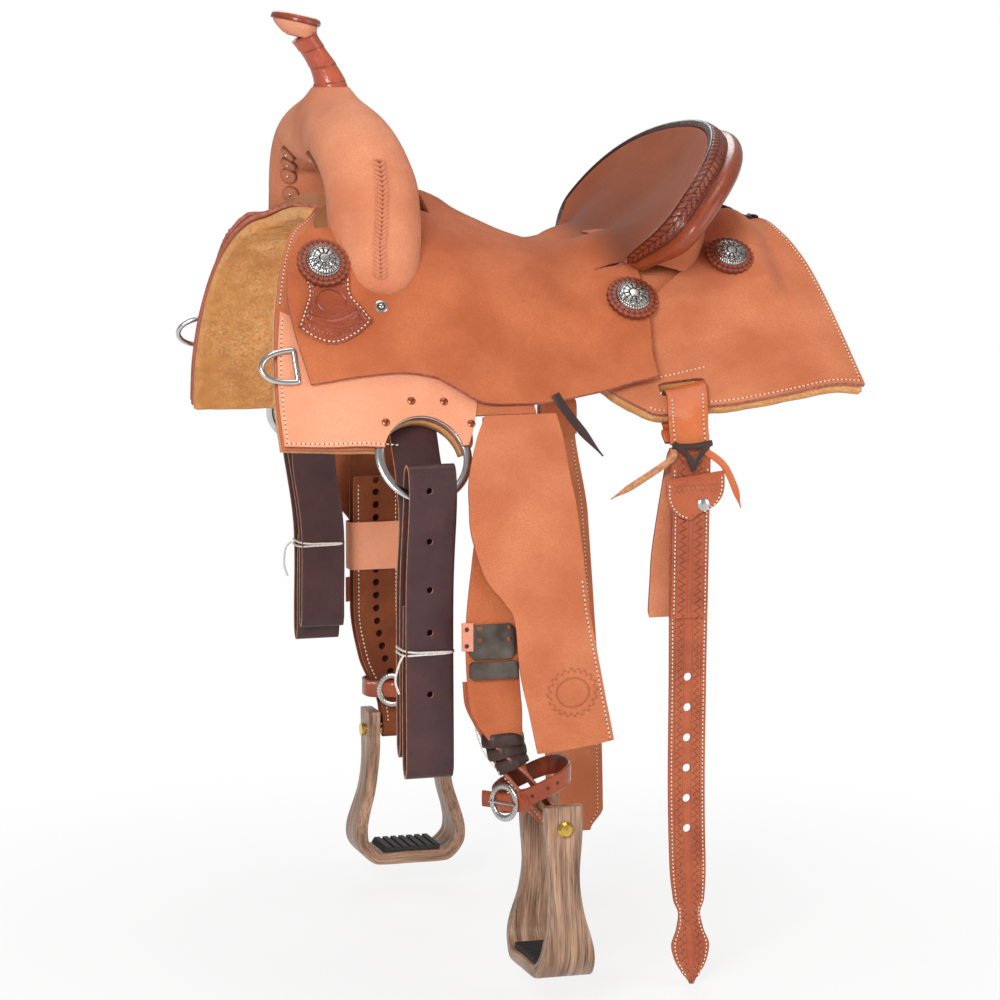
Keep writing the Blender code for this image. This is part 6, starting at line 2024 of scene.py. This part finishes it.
def make_hobble(side):
    """The strap that holds leather and stirrup together, with its tip and its round buckle."""
    name, body = SIDES[side], LEATHER_BODY[side]
    shift = 0.008 if side == NEAR else 0.0
    middle = leather_spine(side, np.array(HOBBLE_Z)) + vec(shift, 0, 0)
    count = 160
    angle = full_turn(count)
    half = HOBBLE_HEIGHT / 2
    section = (
        (0.0002, -1.0), (0.5, -1.02), (0.98, -0.92), (1.0, 0.0), (0.98, 0.92), (0.5, 1.02), (0.0002, 1.0),
        (0.0, 0.0),
    )
    rings = np.stack([
        middle + hobble_ring(side, angle, HOBBLE_STRAP * grow) + vec(0, 0, half * lift)
        for grow, lift in section
    ], 1)
    form = Form("chestnut", "needle")
    tone = np.repeat([[0.5, 0.3, 0.0, 0.0, 0.0, 0.3, 0.5, 0.2]], count, 0)
    form.add(rings, grid_faces(count, len(section), True, True), "chestnut", tone)
    facing_turn = math.radians(215 if side == NEAR else 246)
    out = vec(math.cos(facing_turn), math.sin(facing_turn), 0)
    across = vec(-out[1], out[0], 0)
    reach = (hobble_ring(side, np.linspace(0, 2 * math.pi, 72), HOBBLE_STRAP)[:, :2] @ out[:2]).max()
    drop = vec(0, 0, -0.012 if side == NEAR else 0.0)
    face = middle + out * (reach + 0.0030) + drop
    for index in range(4):
        spot_angle = np.array(facing_turn + 0.55 + 0.24 * index)
        spot = middle + hobble_ring(side, spot_angle, HOBBLE_STRAP)
        away = unit(hobble_ring(side, spot_angle)) * vec(1, 1, 0)
        dome_at(form, spot, away, 0.0020, 0.0003, "needle", 14)
    tip = through([
        face - across * 0.030 - out * 0.0022, face - across * 0.0165 - out * 0.0030, face + out * 0.0014,
        face + across * 0.0165 - out * 0.0030, face + across * 0.034 - out * 0.0010,
    ], 40)
    width = 0.0085 * np.sqrt(np.clip(1 - ease(np.linspace(0, 1, 40), 0.86, 1.0) * 0.96, 0.03, 1))
    add_loft(form, tube(tip, width, 0.0012, out, 12), "chestnut")
    form.build(name + "_hobble_leather", body, [name + "_hobble_strap"], 50)

    turn, corners = full_turn(96), full_turn(14)
    spoke = across * (0.0152 * np.cos(turn))[:, None] + vec(0, 0, 1) * (0.0168 * np.sin(turn))[:, None]
    engraved = 0.0002 * np.clip(np.cos(30 * turn), 0, 1)
    rings = np.stack([
        face + spoke * (1 + 0.20 * math.cos(k)) + out * ((0.0019 - engraved) * math.sin(k))[:, None]
        for k in corners
    ], 1)
    buckle = Form("silver")
    dark = 0.45 * np.clip(np.cos(30 * turn), 0, 1)[:, None] * np.clip(np.sin(corners), 0, 1)[None, :]
    buckle.add(rings, grid_faces(len(turn), len(corners), True, True), "silver", dark)
    buckle.build(name + "_hobble_buckle_frame", body, [name + "_hobble_buckle"], 60)


def make_stirrup(side):
    """The bell-shaped wooden stirrup, with its grain following the bend."""
    name = SIDES[side]
    bolt_z = np.array(BOLT_Z[side])
    turn = float(leather_twist(side, bolt_z))
    wide, deep = vec(math.cos(turn), math.sin(turn), 0), vec(-math.sin(turn), math.cos(turn), 0)
    bolt = leather_spine(side, bolt_z)
    path = list(STIRRUP_PATH) + [(-x, z) for x, z in reversed(STIRRUP_PATH[:-1])]
    line = through(np.array([bolt + wide * x + vec(0, 0, z) for x, z in path]), 220)
    half = curve_at(line[:, 2] - bolt[2], STIRRUP_DEPTH) / 2
    tangent = unit(np.gradient(line, axis=0))
    out = unit(np.cross(tangent, deep))
    thick = STIRRUP_WOOD / 2
    corner = 0.0022
    section = []
    for start, sign_a, sign_b in ((0, 1, 1), (90, -1, 1), (180, -1, -1), (270, 1, -1)):
        for step in range(5):
            at = math.radians(start + 90 * step / 4)
            shift = corner * (math.cos(at) - sign_a), corner * (math.sin(at) - sign_b)
            section.append((sign_a, sign_b, *shift))
    dense = []
    for index, item in enumerate(section):
        after = section[(index + 1) % len(section)]
        dense.append(item + (0.0, item))
        if (item[0], item[1]) != (after[0], after[1]):
            dense += [item + (part, after) for part in (0.2, 0.4, 0.6, 0.8)]
    rings, grain = [], []
    run = lengths_along(line)
    for a, b, da, db, part, after in dense:
        across = (a * half + da) * (1 - part) + (after[0] * half + after[2]) * part
        depth = (b * thick + db) * (1 - part) + (after[1] * thick + after[3]) * part
        rings.append(line + deep * across[:, None] + out * depth)
        grain.append(np.stack([run, across, np.full_like(run, depth)], -1))
    form = Form("walnut")
    add_loft(form, np.stack(rings, 1), "walnut", grain=np.stack(grain, 1))
    form.build(name + "_stirrup_wood", name + "_stirrup_set", [name + "_stirrup"], 35)


# Whole saddle


def dress_frame():
    """Procedural finishes for the solids that stay in view."""
    kept = {
        "horn_core": "dark_steel", "fork_core": "tree", "cantle_board": "seat", "tree_bar": "tree",
        "buckle_sleeve": "dark_steel", "stud_plate": "dark_steel", "buckle_tongue": "silver",
        "stirrup_bolt": "brass", "tread_pad": "rubber",
    }
    for node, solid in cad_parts.items():
        for ending, key in kept.items():
            if node.endswith(ending):
                solid.data.materials.clear()
                solid.data.materials.append(MATERIALS[key])


dress_frame()
make_seat()
make_cantle_roll()
make_cantle_back()
make_fork()
make_horn()
make_rear_lacing()
skirt_threads = []
for side in (NEAR, OFF):
    skirt_threads.append(make_skirts(side))
    make_fleece(side)
    make_latigo_keeper(side)
    for spot in CONCHOS:
        make_concho(side, spot)
    make_screw(side)
    make_ring_and_dee(side)
    make_billet_loop(side)
    make_leather(side)
    make_fender(side)
    make_leather_buckle(side)
    make_hobble(side)
    make_stirrup(side)
for side, threads in zip(SIDES, skirt_threads):
    threads.build_stitching(SIDES[side] + "_skirt", "saddle")
make_latigo(
    NEAR, "near_latigo", "near_latigo_strap", 0.287, -0.004, (-0.010, 0.042, 0.092, 0.136, 0.200), 0.158,
)
make_latigo(OFF, "off_billet", "off_billet_strap", 0.232, 0.013, (0.030, 0.078), 0.120)
make_keeper_band()
make_near_billet()
make_flank_cinch()
make_seat_string()


# Floor, light and camera


def make_stage():
    """A white floor that turns fully white away from the saddle."""
    mesh = bpy.data.meshes.new("floor")
    level = CAD_BOX[0][2] - FLOOR_GAP
    corners = [(x * FLOOR_HALF, y * FLOOR_HALF, level) for x, y in ((-1, -1), (1, -1), (1, 1), (-1, 1))]
    mesh.from_pydata(corners, [], [(0, 1, 2, 3)])
    floor = new_object("floor", mesh)
    material = bpy.data.materials.new("floor_white")
    material.use_nodes = True
    tree = material.node_tree
    shader = tree.nodes["Principled BSDF"]
    matt = {"Base Color": (0.86, 0.86, 0.86, 1), "Roughness": 0.9, "Specular IOR Level": 0.0}
    for name, value in matt.items():
        shader.inputs[name].default_value = value
    glow = add_node(tree, "Emission", Strength=1.0)
    distance = add_node(tree, "VectorMath", add_node(tree, "TexCoord").outputs["Object"])
    distance.operation = "LENGTH"
    reach = {"From_Min": 0.78, "From_Max": 1.25, "To_Min": 0.80, "To_Max": 1.0}
    fade = add_node(tree, "MapRange", Value=distance.outputs["Value"], **reach)
    fade.interpolation_type = "SMOOTHSTEP"
    path = add_node(tree, "LightPath")
    seen = add_math(tree, "MAXIMUM", path.outputs["Is Camera Ray"], path.outputs["Is Glossy Ray"])
    share = add_math(tree, "MULTIPLY", seen, fade.outputs["Result"])
    mix = add_node(tree, "MixShader", share, shader.outputs[0], glow.outputs[0])
    tree.links.new(mix.outputs[0], tree.nodes["Material Output"].inputs["Surface"])
    mesh.materials.append(material)


def make_world():
    """Soft light from all round, seen as white."""
    world = bpy.data.worlds.new("studio")
    bpy.context.scene.world = world
    world.use_nodes = True
    tree = world.node_tree
    light = tree.nodes["Background"]
    light.inputs["Color"].default_value = (1, 1, 1, 1)
    light.inputs["Strength"].default_value = WORLD_LIGHT
    white = add_node(tree, "Background", Color=(1, 1, 1, 1), Strength=1.0)
    path = add_node(tree, "LightPath")
    seen = add_math(tree, "MAXIMUM", path.outputs["Is Camera Ray"], path.outputs["Is Transmission Ray"])
    mix = add_node(tree, "MixShader", seen, light.outputs[0], white.outputs[0])
    tree.links.new(mix.outputs[0], tree.nodes["World Output"].inputs["Surface"])


def make_light(name, place, target, size, power):
    data = bpy.data.lights.new(name, "AREA")
    data.size = size
    data.energy = power
    made = new_object(name, data)
    made.location = place
    made.rotation_euler = (Vector(target) - Vector(place)).to_track_quat("-Z", "Y").to_euler()


def make_camera():
    """The photograph's view: low, from the near side, a little ahead of the saddle."""
    azimuth, elevation, distance, height, lens = CAMERA
    target = Vector((0, 0, height))
    back = Vector((
        math.sin(azimuth) * math.cos(elevation), -math.cos(azimuth) * math.cos(elevation), math.sin(elevation)
    ))
    data = bpy.data.cameras.new("camera")
    data.sensor_width = 36.0
    data.lens = lens
    camera = new_object("camera", data)
    camera.location = target + back * distance
    camera.rotation_euler = (-back).to_track_quat("-Z", "Y").to_euler()
    bpy.context.scene.camera = camera


make_stage()
make_world()
for name, light in LIGHTS.items():
    make_light(name, *light)
make_camera()
bpy.context.scene.view_settings.view_transform = "Standard"
